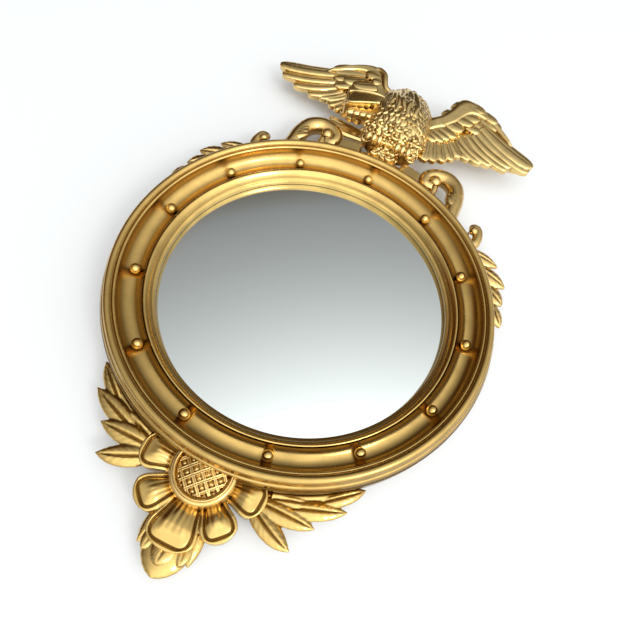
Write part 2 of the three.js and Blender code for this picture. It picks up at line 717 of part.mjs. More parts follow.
function eagleHead(grow) {
  return loft(HEAD_SECTIONS.map(([x, crown, chin, backH, frontH], i) => {
    const end = i === HEAD_SECTIONS.length - 1 ? -grow : 0;
    const top = SHOULDER_Z + crown + grow;
    const low = SHOULDER_Z + chin - grow;
    const back = backH - grow;
    const front = frontH + grow;
    const span = top - low;
    const depth = front - back;
    return [
      at(EAGLE_X + x + end, low, back + 0.3 * depth),
      at(EAGLE_X + x + end, low + 0.1 * span, back + 0.72 * depth),
      at(EAGLE_X + x + end, low + 0.5 * span, front),
      at(EAGLE_X + x + end, low + 0.78 * span, front - 0.08 * depth),
      at(EAGLE_X + x + end, top - 0.04 * span, back + 0.62 * depth),
      at(EAGLE_X + x + end, top, back + 0.35 * depth),
      at(EAGLE_X + x + end, low + 0.7 * span, back),
      at(EAGLE_X + x + end, low + 0.3 * span, back),
    ];
  }));
}
const headEnvelope = eagleHead(TRIM);
add('eagle_head', cut(eagleHead(0), bodyEnvelope), giltBright());

// Wings, from the eagle's middle and the shoulder level. The mantle is the smooth mass along the leading
// edge: [leading x, z, trailing x, z, h]. The core is the outline of the board behind the feathers.
// Feathers and coverts: [root x, root z, tip x, tip z, half width, h of the middle line, bend].
const RIGHT_WING = {
  mantle: [
    [25, 6, 30, -20, 8],
    [37, 15, 43, -8, 8],
    [44, 25, 53, 2, 8.5],
    [49.5, 41, 63, 15, 9],
    [53, 55, 70, 30, 9.5],
    [59.5, 65, 77, 40, 10],
    [70, 67.5, 86, 44, 9.5],
    [86, 62.5, 97, 43, 8.5],
    [104, 53.5, 108, 41, 7.5],
    [120, 43.5, 117, 37, 6.5],
  ],
  core: [
    [27, -38], [27, 8], [41, 16], [50, 40], [57, 60], [69, 65], [101, 52], [117, 40], [147, 13], [171, 3],
    [169, -8], [145, -14], [117, -18], [89, -20], [73, -36], [55, -50], [37, -52],
  ],
  feathers: [
    [100, 34, 176, 0, 12.5, 6.5, -7],
    [96, 25, 173.5, -9, 10, 4.6, -8],
    [92, 16, 151.6, -12.4, 8, 3.4, -9],
    [84, 12, 148, -18, 8, 2.4, -11],
    [76, 6, 127, -20.5, 7.5, 1.6, -10],
    [70, 0, 115, -23, 7.5, 0.8, -9],
    [64, -4, 100, -24.5, 7.5, 0.2, -6],
    [61, 0, 86.5, -31.5, 8, 2.6, -3],
    [54, -4, 79, -42.5, 8, 3, -2],
    [48, -8, 69, -51.5, 8, 3.4, 0],
    [42, -12, 57, -58.5, 8, 3.8, 1],
    [36, -14, 46, -63.5, 8, 4.2, 2],
  ],
  coverts: [
    [77, 53, 121, 40, 10, 9, 3],
    [77, 41, 108, 31, 7.6, 8.4, 1],
    [71, 29, 98, 21, 7.2, 7.8, 0],
    [57, 40, 91, 39, 9.2, 11.6, 0],
    [51, 30, 85, 26, 8.4, 11.2, 0],
    [45, 18, 76.5, 9, 9, 10.8, -2],
    [41, 4, 72, -7, 6.6, 10, -2],
    [37, -4, 65, -15.5, 6, 9.6, -2],
    [33, -11, 59, -23, 5.6, 9.2, -1],
    [29, -18, 50.5, -27, 5.4, 8.8, 0],
  ],
  coreFrontH: 6.8,
};

// The left wing is set back behind the head.
const LEFT_WING = {
  mantle: [
    [-25, 18, -29, -2, 0],
    [-35, 30, -40, 6, 0],
    [-43, 38, -48, 16, 0],
    [-50, 49, -53, 28, 0.5],
    [-57.5, 62, -60, 42, 1],
    [-66.5, 68.5, -69, 48, 1.5],
    [-75, 67, -77, 52, 1],
  ],
  core: [
    [-27, 0], [-33, 28], [-49, 45], [-58, 61], [-69, 66], [-95, 52], [-116, 31], [-137, 17], [-159, 11],
    [-181, 9], [-179, -2], [-153, -12], [-129, -17], [-107, -16], [-91, -24], [-43, -30],
  ],
  feathers: [
    [-107, 33, -185, 4, 11, -2.5, 6],
    [-103, 22, -175, -9, 9, -4.4, 8],
    [-99, 13, -154, -19, 8, -5.4, 8],
    [-95, 6, -131, -22.5, 7.5, -6.2, 7],
    [-89, 4, -116, -20.5, 7, -6.8, 5],
    [-85, 0, -107, -19, 6, -7.2, 3],
    [-81, -2, -99, -26.5, 6, -7.6, 2],
    [-75, -4, -89, -29, 6, -8, 1],
    [-69, -8, -75, -36, 6.5, -3.6, 0],
    [-59, -10, -65, -41, 6.5, -2.8, -1],
    [-49, -10, -54, -41, 6.5, -2, -2],
    [-39, -10, -43, -38, 6.5, -1.2, -3],
  ],
  coverts: [
    [-69, 57, -119, 31, 11, 1.6, -2],
    [-73, 43, -111, 18, 8, 1.2, 0],
    [-71, 32, -105, 5, 7.6, 0.6, 0],
    [-69, 38, -98, 19, 8.4, 2.6, 0],
    [-49, 52, -76, 50, 9.5, 4.6, 0],
    [-47, 42, -64, 40, 7, 4.4, 0],
    [-53, 34, -83, 16, 9, 4, 1],
    [-53, 22, -85, 6, 8, 3, 2],
  ],
  coreFrontH: -3.7,
};

const MANTLE_CROWN = 8;
const MANTLE_BACK = 10;
// [place across, share of the crown]
const MANTLE_SECTION = [[0, 0], [0.14, 0.72], [0.42, 1], [0.8, 0.8], [1, 0.2]];

function mantle(stations) {
  return loft(stations.map(([leadX, leadZ, trailX, trailZ, h], i) => {
    const end = i === 0 || i === stations.length - 1 ? 0.5 : 1;
    const place = (across, rise) => at(
      EAGLE_X + THREE.MathUtils.lerp(leadX, trailX, across),
      SHOULDER_Z + THREE.MathUtils.lerp(leadZ, trailZ, across),
      h + rise,
    );
    return [
      ...MANTLE_SECTION.map(([across, share]) => place(across, end * share * MANTLE_CROWN)),
      place(1, -MANTLE_BACK),
      place(0, -MANTLE_BACK),
    ];
  }));
}

function plume([rootX, rootZ, tipX, tipZ, half, h, bend], rootDrop, crown, back, outline) {
  return blade({
    root: [EAGLE_X + rootX, SHOULDER_Z + rootZ, h - rootDrop],
    tip: [EAGLE_X + tipX, SHOULDER_Z + tipZ, h],
    bend: -bend,
    half,
    crown,
    back,
    outline,
  });
}

function wing({ mantle: stations, core, feathers, coverts, coreFrontH }) {
  const outline = core.map(([x, z]) => [EAGLE_X + x, SHOULDER_Z + z]);
  return join(
    extruded(outline, coreFrontH - WING_CORE, coreFrontH),
    mantle(stations),
    ...feathers.map((row) => plume(row, 0.5, 3.4, 4, FEATHER)),
    ...coverts.map((row) => plume(row, 3, 3.8, 7, LOBE)),
  );
}

add('eagle_wing_right', cut(wing(RIGHT_WING), bodyEnvelope), giltBright());
add('eagle_wing_left', cut(wing(LEFT_WING), bodyEnvelope, headEnvelope), giltBright());

// Three toes over the plinth's front edge: [spread, above the plinth's top, in front of its face].
const TOE = [[3, 9.5, 6], [5.5, 6.5, 15], [7.5, 0.5, 15], [8, -5.5, 9.5], [8, -10.5, 4.5]];

function foot(x) {
  const toes = [-1, 0, 1].map((side) => {
    const points = TOE.map(([spread, up, out]) => at(
      x + side * spread, PLINTH_TOP + up, PLINTH_FRONT_H + out,
    ));
    return bar(new THREE.CatmullRomCurve3(points), (t) => TOE_R - CLAW_TAPER * t ** 2, 4, 5);
  });
  return cut(join(...toes), bodyEnvelope);
}
add('eagle_foot_left', foot(EAGLE_X - FOOT_SPACING / 2), gilt());
add('eagle_foot_right', foot(EAGLE_X + FOOT_SPACING / 2), gilt());

// Tail feathers swept out to the left, behind the scroll: [root x, root z, tip x, tip z] from the
// eagle's middle and the plinth's top.
const TAIL_FEATHERS = [[-23, 25.5, -91, 21.5], [-23, 28.5, -91, 30], [-23, 31.5, -91, 38.5]];
const TAIL_H = -15;

const tailFeathers = TAIL_FEATHERS.map(([rootX, rootZ, tipX, tipZ]) => blade({
  root: [EAGLE_X + rootX, PLINTH_TOP + rootZ, TAIL_H],
  tip: [EAGLE_X + tipX, PLINTH_TOP + tipZ, TAIL_H - 1],
  half: 6,
  crown: 3.5,
  back: 3,
  outline: FEATHER,
}));
add('eagle_tail', cut(join(...tailFeathers), bodyEnvelope), gilt());

// ---------------------------------------------------------------- crest: scrolls, volutes and leaves

// C-scroll rising from the ring and curling in to an eye: [x from its middle, z from the ring's top].
// side is -1 or 1.
const SCROLL_PATH = [
  [22, -37.5], [20, -13.5], [20, 7.5], [13, 24.5], [0, 32.5],
  [-15, 29.5], [-24, 20.5], [-22, 10.5], [-13, 11.5],
];
const SCROLL_EYE = [-12, 17.5];
const WRAP_ROOT = [21, -25.5];
const WRAP_TIP = [13, 26.5];

function scroll(side) {
  const place = ([dx, dz], lift = 0) => [side * (SCROLL_X + dx), RING_OUTER_R + dz, SCROLL_H + lift];
  const curve = new THREE.CatmullRomCurve3(SCROLL_PATH.map((point) => at(...place(point))));
  const rail = bar(curve, (t) => SCROLL_R - SCROLL_TAPER * t ** 3, 15, 8);
  const eye = new THREE.SphereGeometry(SCROLL_EYE_R, 8, 5);
  eye.translate(...at(...place(SCROLL_EYE, 2)).toArray());
  const wrap = blade({
    root: place(WRAP_ROOT, 4),
    tip: place(WRAP_TIP, 4),
    bend: side * 3,
    half: WRAP_HALF_WIDTH,
    crown: WRAP_CROWN,
    vein: 0.75,
    back: WRAP_CROWN,
    outline: LEAF,
  });
  return cut(join(rail, closed(eye), wrap), ringEnvelope, plinthSides(side), bodyEnvelope);
}

// Room beside the plinth for the scroll's foot.
function plinthSides(side) {
  const edge = side * (PLINTH_HALF_WIDTH + SEAT);
  const low = RING_OUTER_R - CUTTER_REACH;
  const outline = [[0, low], [edge, low], [edge, PLINTH_TOP - 9], [0, PLINTH_TOP + 6]];
  return slab(side > 0 ? outline : [...outline].reverse());
}

// Small curl on the shoulder: [x, z from its place on the ring's edge, h].
const VOLUTE_PATH = [[-9, 1, -12], [3, 15, -12], [5, 27, -11], [2, 36, -10], [-4, 36, -9], [-3, 30, -8]];

function volute(side, grow) {
  const [x, z] = onEdge(VOLUTE_ARC);
  const points = VOLUTE_PATH.map(([dx, dz, h]) => at(side * (x + dx), z + dz, h));
  const curve = new THREE.CatmullRomCurve3(points);
  return cut(bar(curve, (t) => VOLUTE_R - VOLUTE_TAPER * t + grow, 8, 7), ringEnvelope);
}

// Leaves that spring from the ring's edge: [place along the edge, outside the edge, run in x, run in z,
// half width, bend]. Places are measured from the ring's top for the crest leaves and from its bottom
// for the sprays.
const CREST_LEAVES = [
  [152.7, -1.1, 44, -8, 7],
  [181.1, -0.2, 38, -13, 7],
  [203.9, 0.7, 30, -18, 6.5],
  [221.6, -0.4, 27, -30, 6],
];
const SPRAY_LEAVES = [
  [46.5, 8.5, 58, 0.5, 9.5, 0],
  [41.9, 11.1, 50, -21, 9.5, 4],
  [60.4, 8.8, 65, 22, 9, 2],
  [97, 5.8, 39, 30, 7, 2],
  [44, 1.3, 54.6, 10.5, 7, 0],
];
const CREST_STEM = [166.9, 255.7];  // places along the edge
const SPRAY_STEM = [60.4, 127.9];

// side is -1 or 1, and end is 1 for the crest and -1 for the drop.
function leafGroup(leaves, side, end) {
  const blades = leaves.map(([place, out, runX, runZ, half, bend = 0], i) => {
    const [x, z] = onEdge(place, out);
    return blade({
      root: [side * x, end * z, LEAF_H - 0.6 * (i % 2)],
      tip: [side * (x + runX), end * z + runZ, LEAF_H],
      bend: side * bend,
      half,
      crown: 4,
      vein: 0.7,
      back: LEAF_BACK,
      outline: LEAF,
    });
  });
  return join(...blades);
}

// Stem along the ring's edge that a group of leaves springs from.
function stem([from, to], side, end, h) {
  const points = [0, 0.33, 0.67, 1].map((t) => {
    const [x, z] = onEdge(THREE.MathUtils.lerp(from, to, t), STEM_OFFSET);
    return at(side * x, end * z, h);
  });
  return bar(new THREE.CatmullRomCurve3(points), () => STEM_R, 5, 6);
}

[['left', -1], ['right', 1]].forEach(([name, side]) => {
  add(`scroll_${name}`, scroll(side), gilt());
  add(`volute_${name}`, volute(side, 0), gilt());
  const leaves = join(leafGroup(CREST_LEAVES, side, 1), stem(CREST_STEM, side, 1, LEAF_H));
  add(`crest_leaves_${name}`, cut(leaves, ringEnvelope, volute(side, TRIM)), gilt());
});

// ---------------------------------------------------------------- drop: flower, bud and sprays

// Petals round the boss: [direction in degrees from the right, reach, half width at the tip].
const PETALS = [
  [-3, 58, 17.5],
  [-46, 58, 17.2],
  [-90, 65, 24],
  [-134, 58, 17.2],
  [-177, 58, 17.5],
];
// Along a petal: [share of the reach, share of the half width, h, height of the rim on the edge].
const PETAL_SECTIONS = [
  [0.3, 0.55, -9, 1.6],
  [0.55, 0.78, -10, 1.6],
  [0.8, 1, -7, 1.6],
  [0.94, 0.94, -5.5, 1.2],
  [1, 0.66, -8, 0.8],
];
const PETAL_HOLLOW = -1.4;     // floor inside the rim
const PETAL_CREST = 0.6;       // swell along the middle

function petal([direction, reach, half], grow) {
  const out = new THREE.Vector3(Math.cos(rad(direction)), 0, Math.sin(rad(direction)));
  const side = new THREE.Vector3().crossVectors(out, FRONT).normalize();
  const centre = at(FLOWER_X, FLOWER_Z, 0);
  return loft(PETAL_SECTIONS.map(([share, spread, h, rim], i) => {
    const [first, last] = [i === 0, i === PETAL_SECTIONS.length - 1];
    const middle = centre.clone().addScaledVector(out, share * reach + (last ? grow : 0));
    const w = half * spread + grow;
    const place = (across, height) => (
      middle.clone().addScaledVector(side, across * w).addScaledVector(FRONT, height)
    );
    const top = h + grow;
    return [
      place(-1, top), place(-0.84, top + rim), place(-0.62, top + PETAL_HOLLOW),
      place(0, top + (first ? 2 * PETAL_HOLLOW : PETAL_CREST)),
      place(0.62, top + PETAL_HOLLOW), place(0.84, top + rim), place(1, top),
      place(0.8, PETAL_BACK_H - grow), place(-0.8, PETAL_BACK_H - grow),
    ];
  }));
}

const hub = post(FLOWER_X, FLOWER_Z, RING_BACK_H, BOSS_SEAT_H - SEAT, HUB_R, 20);
const bossRoom = post(FLOWER_X, FLOWER_Z, BOSS_SEAT_H - SEAT, CUTTER_REACH, BOSS_RIM_R + SEAT, 24);
const flowerHoles = dropScrews.filter(([, z]) => z < -RING_OUTER_R).map(([x, z]) => screwHole(x, z));
add('flower_petals', cut(
  join(hub, ...PETALS.map((each) => petal(each, 0))),
  ringEnvelope,
  bossRoom,
  ...flowerHoles,
), giltBright());

function movedToFlower(geometry) {
  return geometry.translate(FLOWER_X, 0, FLOWER_Z);
}

// Rim round the boss: [share of its width, height above the seat].
const RIM_PROFILE = [
  [0, 0], [0, 10.8], [0.18, 12.8], [0.36, 12.2], [0.46, 10.8], [0.78, 9.2], [1, 4], [1, 0], [0, 0],
];
const rimInnerR = BOSS_RIM_R - BOSS_RIM_WIDTH;
const rimProfile = RIM_PROFILE.map(([share, height]) => [
  rimInnerR + share * BOSS_RIM_WIDTH, BOSS_SEAT_H + height,
]);
add('boss_ring', cut(movedToFlower(turned(rimProfile, 24)), ringEnvelope), gilt());

// Domed seed head carved as a diagonal lattice: ridges between sunk pits.
function lattice() {
  const pitch = 2.16 * BOSS_R / BOSS_CELLS;
  const crown = BOSS_SEAT_H + BOSS_RISE - BOSS_DOME_R;
  const dome = (u, v) => crown + Math.sqrt(Math.max(1, BOSS_DOME_R ** 2 - u * u - v * v));
  const positions = [];
  const index = [];
  const point = (i, j, h) => {
    const [u, v] = [(i - BOSS_CELLS / 2) * pitch, (j - BOSS_CELLS / 2) * pitch];
    positions.push((u - v) * Math.SQRT1_2, -(h ?? dome(u, v)), (u + v) * Math.SQRT1_2);
    return positions.length / 3 - 1;
  };
  const steps = Array.from({ length: BOSS_CELLS + 1 }, (_, k) => k);
  const top = steps.map((i) => steps.map((j) => point(i, j)));
  steps.slice(1).forEach((i) => steps.slice(1).forEach((j) => {
    const [u, v] = [(i - 0.5 - BOSS_CELLS / 2) * pitch, (j - 0.5 - BOSS_CELLS / 2) * pitch];
    const pit = point(i - 0.5, j - 0.5, dome(u, v) - PIT_DEPTH);
    const corners = [top[i - 1][j - 1], top[i][j - 1], top[i][j], top[i - 1][j]];
    corners.forEach((corner, k) => index.push(corner, corners[(k + 1) % 4], pit));
  }));
  const run = steps.slice(0, -1);
  const edge = [
    ...run.map((k) => [k, 0]),
    ...run.map((k) => [BOSS_CELLS, k]),
    ...run.map((k) => [BOSS_CELLS - k, BOSS_CELLS]),
    ...run.map((k) => [0, BOSS_CELLS - k]),
  ];
  const foot = edge.map(([i, j]) => point(i, j, BOSS_SEAT_H));
  const middle = point(BOSS_CELLS / 2, BOSS_CELLS / 2, BOSS_SEAT_H);
  edge.forEach(([i, j], k) => {
    const n = (k + 1) % edge.length;
    const [i2, j2] = edge[n];
    index.push(top[i][j], foot[k], foot[n], top[i][j], foot[n], top[i2][j2], middle, foot[n], foot[k]);
  });
  const geometry = new THREE.BufferGeometry();
  geometry.setAttribute('position', new THREE.Float32BufferAttribute(positions, 3));
  geometry.setIndex(index);
  return closed(geometry);
}

const seedHeadRound = post(0, 0, -CUTTER_REACH, CUTTER_REACH, rimInnerR - SEAT, 24);
add('flower_boss', cut(movedToFlower(common(lattice(), seedHeadRound)), ringEnvelope), giltBright());

// Pieces beside the petals are trimmed to them.
const petalEnvelopes = PETALS.map((each) => petal(each, TRIM));

// Bud under the flower, from the flower's middle: roots and tips are [x, z].
const BUD_OUTER = { root: [2, -47], tip: [2, -89], half: 20.5, h: -13 };
const BUD_INNER = { root: [2, -57], tip: [2, -81], half: 12, h: -10.5 };
const BUD_SIDE = { root: [20, -35], tip: [24, -71], half: 8, h: -14, bend: 5 };

function budLeaf({ root, tip, half, h, bend = 0 }, outline = BUD) {
  const place = ([x, z]) => [FLOWER_X + x, FLOWER_Z + z, h];
  return blade({ root: place(root), tip: place(tip), bend, half, crown: 4, vein: 0.75, back: 5, outline });
}

add('drop_bud', cut(join(budLeaf(BUD_OUTER), budLeaf(BUD_INNER)), ...petalEnvelopes), gilt());
const budEnvelope = budLeaf({ ...BUD_OUTER, half: BUD_OUTER.half + 2 * SEAT });

[['left', -1], ['right', 1]].forEach(([name, side]) => {
  const turn = ([x, z]) => [1 + side * x, z];
  const leaf = budLeaf({
    ...BUD_SIDE,
    root: turn(BUD_SIDE.root),
    tip: turn(BUD_SIDE.tip),
    bend: side * BUD_SIDE.bend,
  }, LEAF);
  add(`bud_leaf_${name}`, cut(leaf, ...petalEnvelopes, budEnvelope), gilt());
});

[['left', -1], ['right', 1]].forEach(([name, side]) => {
  const leaves = join(leafGroup(SPRAY_LEAVES, side, -1), stem(SPRAY_STEM, side, -1, LEAF_H - 0.8));
  add(`leaf_spray_${name}`, cut(leaves, ringEnvelope, ...petalEnvelopes), gilt());
});

export default object;
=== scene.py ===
"""Girandole mirror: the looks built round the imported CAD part.

The carved and turned pieces are drawn in the mirror's own plane, in millimetres: x to the viewer's
right and z up from the ring's centre, h from the plane of the ball centres towards the front.
"""

import math

import bpy
import numpy as np
from mathutils import Matrix, Vector


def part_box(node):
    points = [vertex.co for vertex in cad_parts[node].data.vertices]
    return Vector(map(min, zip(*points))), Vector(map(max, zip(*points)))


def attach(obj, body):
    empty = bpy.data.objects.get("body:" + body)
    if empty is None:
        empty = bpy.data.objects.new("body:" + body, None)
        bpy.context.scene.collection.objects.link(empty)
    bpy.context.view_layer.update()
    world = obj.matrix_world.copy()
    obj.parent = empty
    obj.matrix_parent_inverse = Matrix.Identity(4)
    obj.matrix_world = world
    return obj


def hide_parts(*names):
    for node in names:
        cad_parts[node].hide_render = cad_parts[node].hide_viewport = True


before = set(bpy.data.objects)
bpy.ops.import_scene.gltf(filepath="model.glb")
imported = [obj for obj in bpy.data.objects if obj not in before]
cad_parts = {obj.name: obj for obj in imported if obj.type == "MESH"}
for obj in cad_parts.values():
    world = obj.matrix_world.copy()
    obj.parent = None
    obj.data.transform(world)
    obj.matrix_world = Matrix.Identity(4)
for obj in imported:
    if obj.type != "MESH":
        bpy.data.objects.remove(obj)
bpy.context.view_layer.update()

MM = 0.001
STATIC = "frame"               # the body of everything that doesn't move

# ---------------------------------------------------------------- sizes, in millimetres

CROWN_H = 17.0                 # front of the ring's outer torus
BALL_COUNT = 13
BALL_CIRCLE_R = 175.0
BALL_R = 5.5
SIGHT_R = 153.5
RABBET_R = 168.0
GLASS_SPHERE_R = 1400.0
GLASS_EDGE_H = -13.0           # front of the glass where it meets the slip
GLASS_THICKNESS = 3.0
EAGLE_X = 3.0
FLOWER = (-1.0, -205.0)
BOSS_R = 23.3
BOSS_SEAT_H = -8.0
FLOWER_EDGE_R = 200.2          # the flower laps over the ring's outer step

ring_low, ring_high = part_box("frame_ring")
RING_OUTER_R = (ring_high.x - ring_low.x) / 2 / MM
CENTRE = np.array([(ring_low.x + ring_high.x) / 2, ring_low.y + CROWN_H * MM, (ring_low.z + ring_high.z) / 2])
RANDOM = np.random.default_rng(7)


def to_frame(points):
    """Points [x, z, h] in the mirror's plane, in mm, to the row frame in metres."""
    points = np.asarray(points, float)
    return CENTRE + MM * np.stack([points[..., 0], -points[..., 2], points[..., 1]], -1)


# ---------------------------------------------------------------- closed shells as (points, triangles)


def flipped_outwards(points, triangles):
    a, b, c = (points[triangles[:, i]] for i in range(3))
    volume = np.einsum("ij,ij->i", a, np.cross(b, c)).sum()
    return points, triangles if volume > 0 else triangles[:, ::-1]


def loft(rings, looped=False):
    """A skin through rings [count, points, 3]. looped joins the last ring to the first, else fans close both
    ends."""
    rings = np.asarray(rings, float)
    count, around = rings.shape[:2]
    index = np.arange(count * around).reshape(count, around)
    following = np.roll(index, -1, 0) if looped else index[1:]
    here = index if looped else index[:-1]
    a, b = here, np.roll(here, -1, 1)
    c, d = np.roll(following, -1, 1), following
    triangles = [np.stack([a, b, c], -1).reshape(-1, 3), np.stack([a, c, d], -1).reshape(-1, 3)]
    points = rings.reshape(-1, 3)
    if not looped:
        first, last = count * around, count * around + 1
        points = np.vstack([points, rings[0].mean(0), rings[-1].mean(0)])
        triangles.append(np.stack([np.full(around, first), np.roll(index[0], -1), index[0]], -1))
        triangles.append(np.stack([np.full(around, last), index[-1], np.roll(index[-1], -1)], -1))
    return flipped_outwards(points, np.vstack(triangles))


def joined(shells):
    points, triangles, start = [], [], 0
    for p, t in shells:
        points.append(p)
        triangles.append(t + start)
        start += len(p)
    return np.vstack(points), np.vstack(triangles)


def smooth_curve(points, steps):
    """steps + 1 places along a Catmull-Rom curve through points, even in the points' own parameter."""
    points = np.asarray(points, float)
    ends = [2 * points[0] - points[1], *points, 2 * points[-1] - points[-2]]
    p = np.array(ends)
    t = np.linspace(0, len(points) - 1, steps + 1)
    i = np.minimum(t.astype(int), len(points) - 2)
    s = (t - i)[:, None]
    a, b, c, d = p[i], p[i + 1], p[i + 2], p[i + 3]
    return 0.5 * (2 * b + (c - a) * s + (2 * a - 5 * b + 4 * c - d) * s**2 + (3 * b - a - 3 * c + d) * s**3)


def unit(vectors):
    return vectors / np.linalg.norm(vectors, axis=-1, keepdims=True)


TOWARDS_FRONT = np.array([0.0, 0.0, 1.0])


def tube(path, radius, steps=40, sides=16, flatten=1.0):
    """A round bar along a curve; radius is a function of 0..1, flatten its depth over its width."""
    centre = smooth_curve(path, steps)
    tangent = unit(np.gradient(centre, axis=0))
    side = unit(np.cross(tangent, TOWARDS_FRONT))
    up = unit(np.cross(side, tangent))
    angle = np.linspace(0, 2 * math.pi, sides, endpoint=False)
    r = np.array([radius(t) for t in np.linspace(0, 1, steps + 1)])[:, None, None]
    cos, sin = np.cos(angle)[None, :, None], np.sin(angle)[None, :, None]
    return loft(centre[:, None] + r * (cos * side[:, None] + flatten * sin * up[:, None]))


def ball(centre, radius, steps=20):
    """A ball as a lathe with small flats at its poles."""
    polar = np.linspace(0.02, math.pi - 0.02, steps)
    angle = np.linspace(0, 2 * math.pi, 2 * steps, endpoint=False)
    rings = np.stack([
        np.sin(polar)[:, None] * np.cos(angle),
        np.cos(polar)[:, None] * np.ones_like(angle),
        np.sin(polar)[:, None] * np.sin(angle),
    ], -1)
    return loft(np.array(centre) + radius * rings)


def turned(profile, centre=(0.0, 0.0), segments=360):
    """A turned body about the depth axis from a closed outline of [r, h]."""
    profile = np.asarray(profile, float)
    angle = np.linspace(0, 2 * math.pi, segments, endpoint=False)
    rings = np.stack([
        centre[0] + profile[None, :, 0] * np.sin(angle)[:, None],
        centre[1] + profile[None, :, 0] * np.cos(angle)[:, None],
        np.broadcast_to(profile[None, :, 1], (segments, len(profile))),
    ], -1)
    return loft(rings, looped=True)


def arc(centre_r, centre_h, radius, start, end, steps):
    angle = np.radians(np.linspace(start, end, steps + 1))
    return [[centre_r + radius * math.cos(a), centre_h + radius * math.sin(a)] for a in angle]


def eased(outline, radius, steps=4):
    """A closed outline with each corner rounded to about the given radius."""
    outline = [np.array(p, float) for p in outline]
    result = []
    for i, corner in enumerate(outline):
        before, after = outline[i - 1], outline[(i + 1) % len(outline)]
        reach = [min(radius, 0.45 * np.linalg.norm(p - corner)) for p in (before, after)]
        start = corner + reach[0] * unit(before - corner)
        end = corner + reach[1] * unit(after - corner)
        for s in np.linspace(0, 1, steps + 1):
            result.append((1 - s) ** 2 * start + 2 * s * (1 - s) * corner + s**2 * end)
    return result


# Outlines along a leaf or feather: [place 0..1 from root to tip, share of the half width].
LEAF = [(0, 0.45), (0.15, 0.78), (0.32, 0.98), (0.5, 1.04), (0.66, 0.95), (0.8, 0.72), (0.91, 0.4), (1, 0.03)]
FEATHER = [(0, 0.8), (0.3, 0.94), (0.6, 1), (0.82, 0.97), (0.92, 0.82), (0.97, 0.6), (1, 0.25)]
LOBE = [(0, 0.9), (0.4, 1), (0.66, 1), (0.82, 0.86), (0.92, 0.64), (0.98, 0.34), (1, 0.1)]
SCALE = [(0, 0.7), (0.3, 0.95), (0.5, 1), (0.7, 0.86), (0.86, 0.54), (0.95, 0.26), (1, 0.05)]
BUD = [(0, 0.86), (0.2, 0.98), (0.38, 1), (0.58, 0.93), (0.74, 0.78), (0.87, 0.55), (0.95, 0.33), (1, 0.08)]


def share_along(outline, t):
    places, shares = zip(*outline)
    return np.interp(t, places, shares)


def strip(centre, side, normal, half, height, back, across):
    """A closed strip along centre: height(v) over it for v from -1 to 1, flat behind."""
    v = np.linspace(-1, 1, across + 1)
    top = centre[:, None] + side[:, None] * (half[:, None] * v)[..., None]
    top = top + normal[:, None] * height(v)[..., None]
    behind = centre[:, None] + side[:, None] * (half[:, None] * 0.96 * v[::-1])[..., None]
    behind = behind - normal[:, None] * np.broadcast_to(back, (len(centre), 1))[..., None]
    return loft(np.concatenate([top, behind], 1))


def blade(root, tip, half, outline=LEAF, bend=0.0, crown=3.0, back=3.0, vein=0.0, ribs=0.0, tilt=0.0,
          arch=0.0, steps=36, across=18, normal=TOWARDS_FRONT, rib_pitch=3.2):
    """A leaf or feather from root to tip [x, z, h]. bend bows it sideways and arch outwards, tilt lifts one
    edge, vein sinks a middle groove and ribs cuts slanting side veins."""
    root, tip, normal = np.array(root, float), np.array(tip, float), np.array(normal, float)
    length = np.linalg.norm(tip - root)
    across_dir = unit(np.cross(tip - root, normal))
    middle = (root + tip) / 2 + across_dir * bend + normal * arch
    s = np.linspace(0, 1, steps + 1)
    t = 1 - (1 - s) ** 1.35
    centre = ((1 - t) ** 2)[:, None] * root + (2 * t * (1 - t))[:, None] * middle + (t**2)[:, None] * tip
    tangent = unit(np.gradient(centre, axis=0))
    side = unit(np.cross(tangent, normal))
    out = unit(np.cross(side, tangent))
    share = share_along(outline, t)

    def height(v):
        dome = crown * (0.3 + 0.7 * share[:, None]) * (1 - np.abs(v)[None] ** 2.2) ** 0.75
        groove = vein * np.exp(-((v / 0.13) ** 2))[None] * (1 - t**4)[:, None]
        slanted = (t * length)[:, None] - np.abs(v)[None] * half * 1.1
        wave = 0.5 + 0.5 * np.cos(2 * math.pi * slanted / rib_pitch)
        cuts = ribs * wave * (np.abs(v) ** 0.6 * (1 - v**4))[None]
        return dome - groove - cuts + tilt * v[None] * share[:, None]

    return strip(centre, side, out, half * share, height, back, across)


# ---------------------------------------------------------------- Blender objects


def new_mesh(name, shell):
    points, triangles = shell
    mesh = bpy.data.meshes.new(name)
    mesh.vertices.add(len(points))
    mesh.vertices.foreach_set("co", to_frame(points).astype(np.float32).ravel())
    mesh.loops.add(3 * len(triangles))
    mesh.loops.foreach_set("vertex_index", triangles.astype(np.int32).ravel())
    mesh.polygons.add(len(triangles))
    mesh.polygons.foreach_set("loop_start", np.arange(0, 3 * len(triangles), 3, dtype=np.int32))
    mesh.update(calc_edges=True)
    mesh.validate()
    return mesh


def add_object(name, mesh, material, replaced, body=STATIC):
    mesh.materials.clear()
    mesh.materials.append(material)
    piece = bpy.data.objects.new(name, mesh)
    bpy.context.scene.collection.objects.link(piece)
    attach(piece, body)
    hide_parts(*replaced)
    set_hollows(mesh)


def turned_piece(name, shells, material, replaced, sharp_deg=50):
    """Pieces whose points are used as they are, with smooth faces and crisp edges."""
    mesh = new_mesh(name, joined(shells))
    mesh.shade_smooth()
    mesh.set_sharp_from_angle(angle=math.radians(sharp_deg))
    add_object(name, mesh, material, replaced)
    return mesh


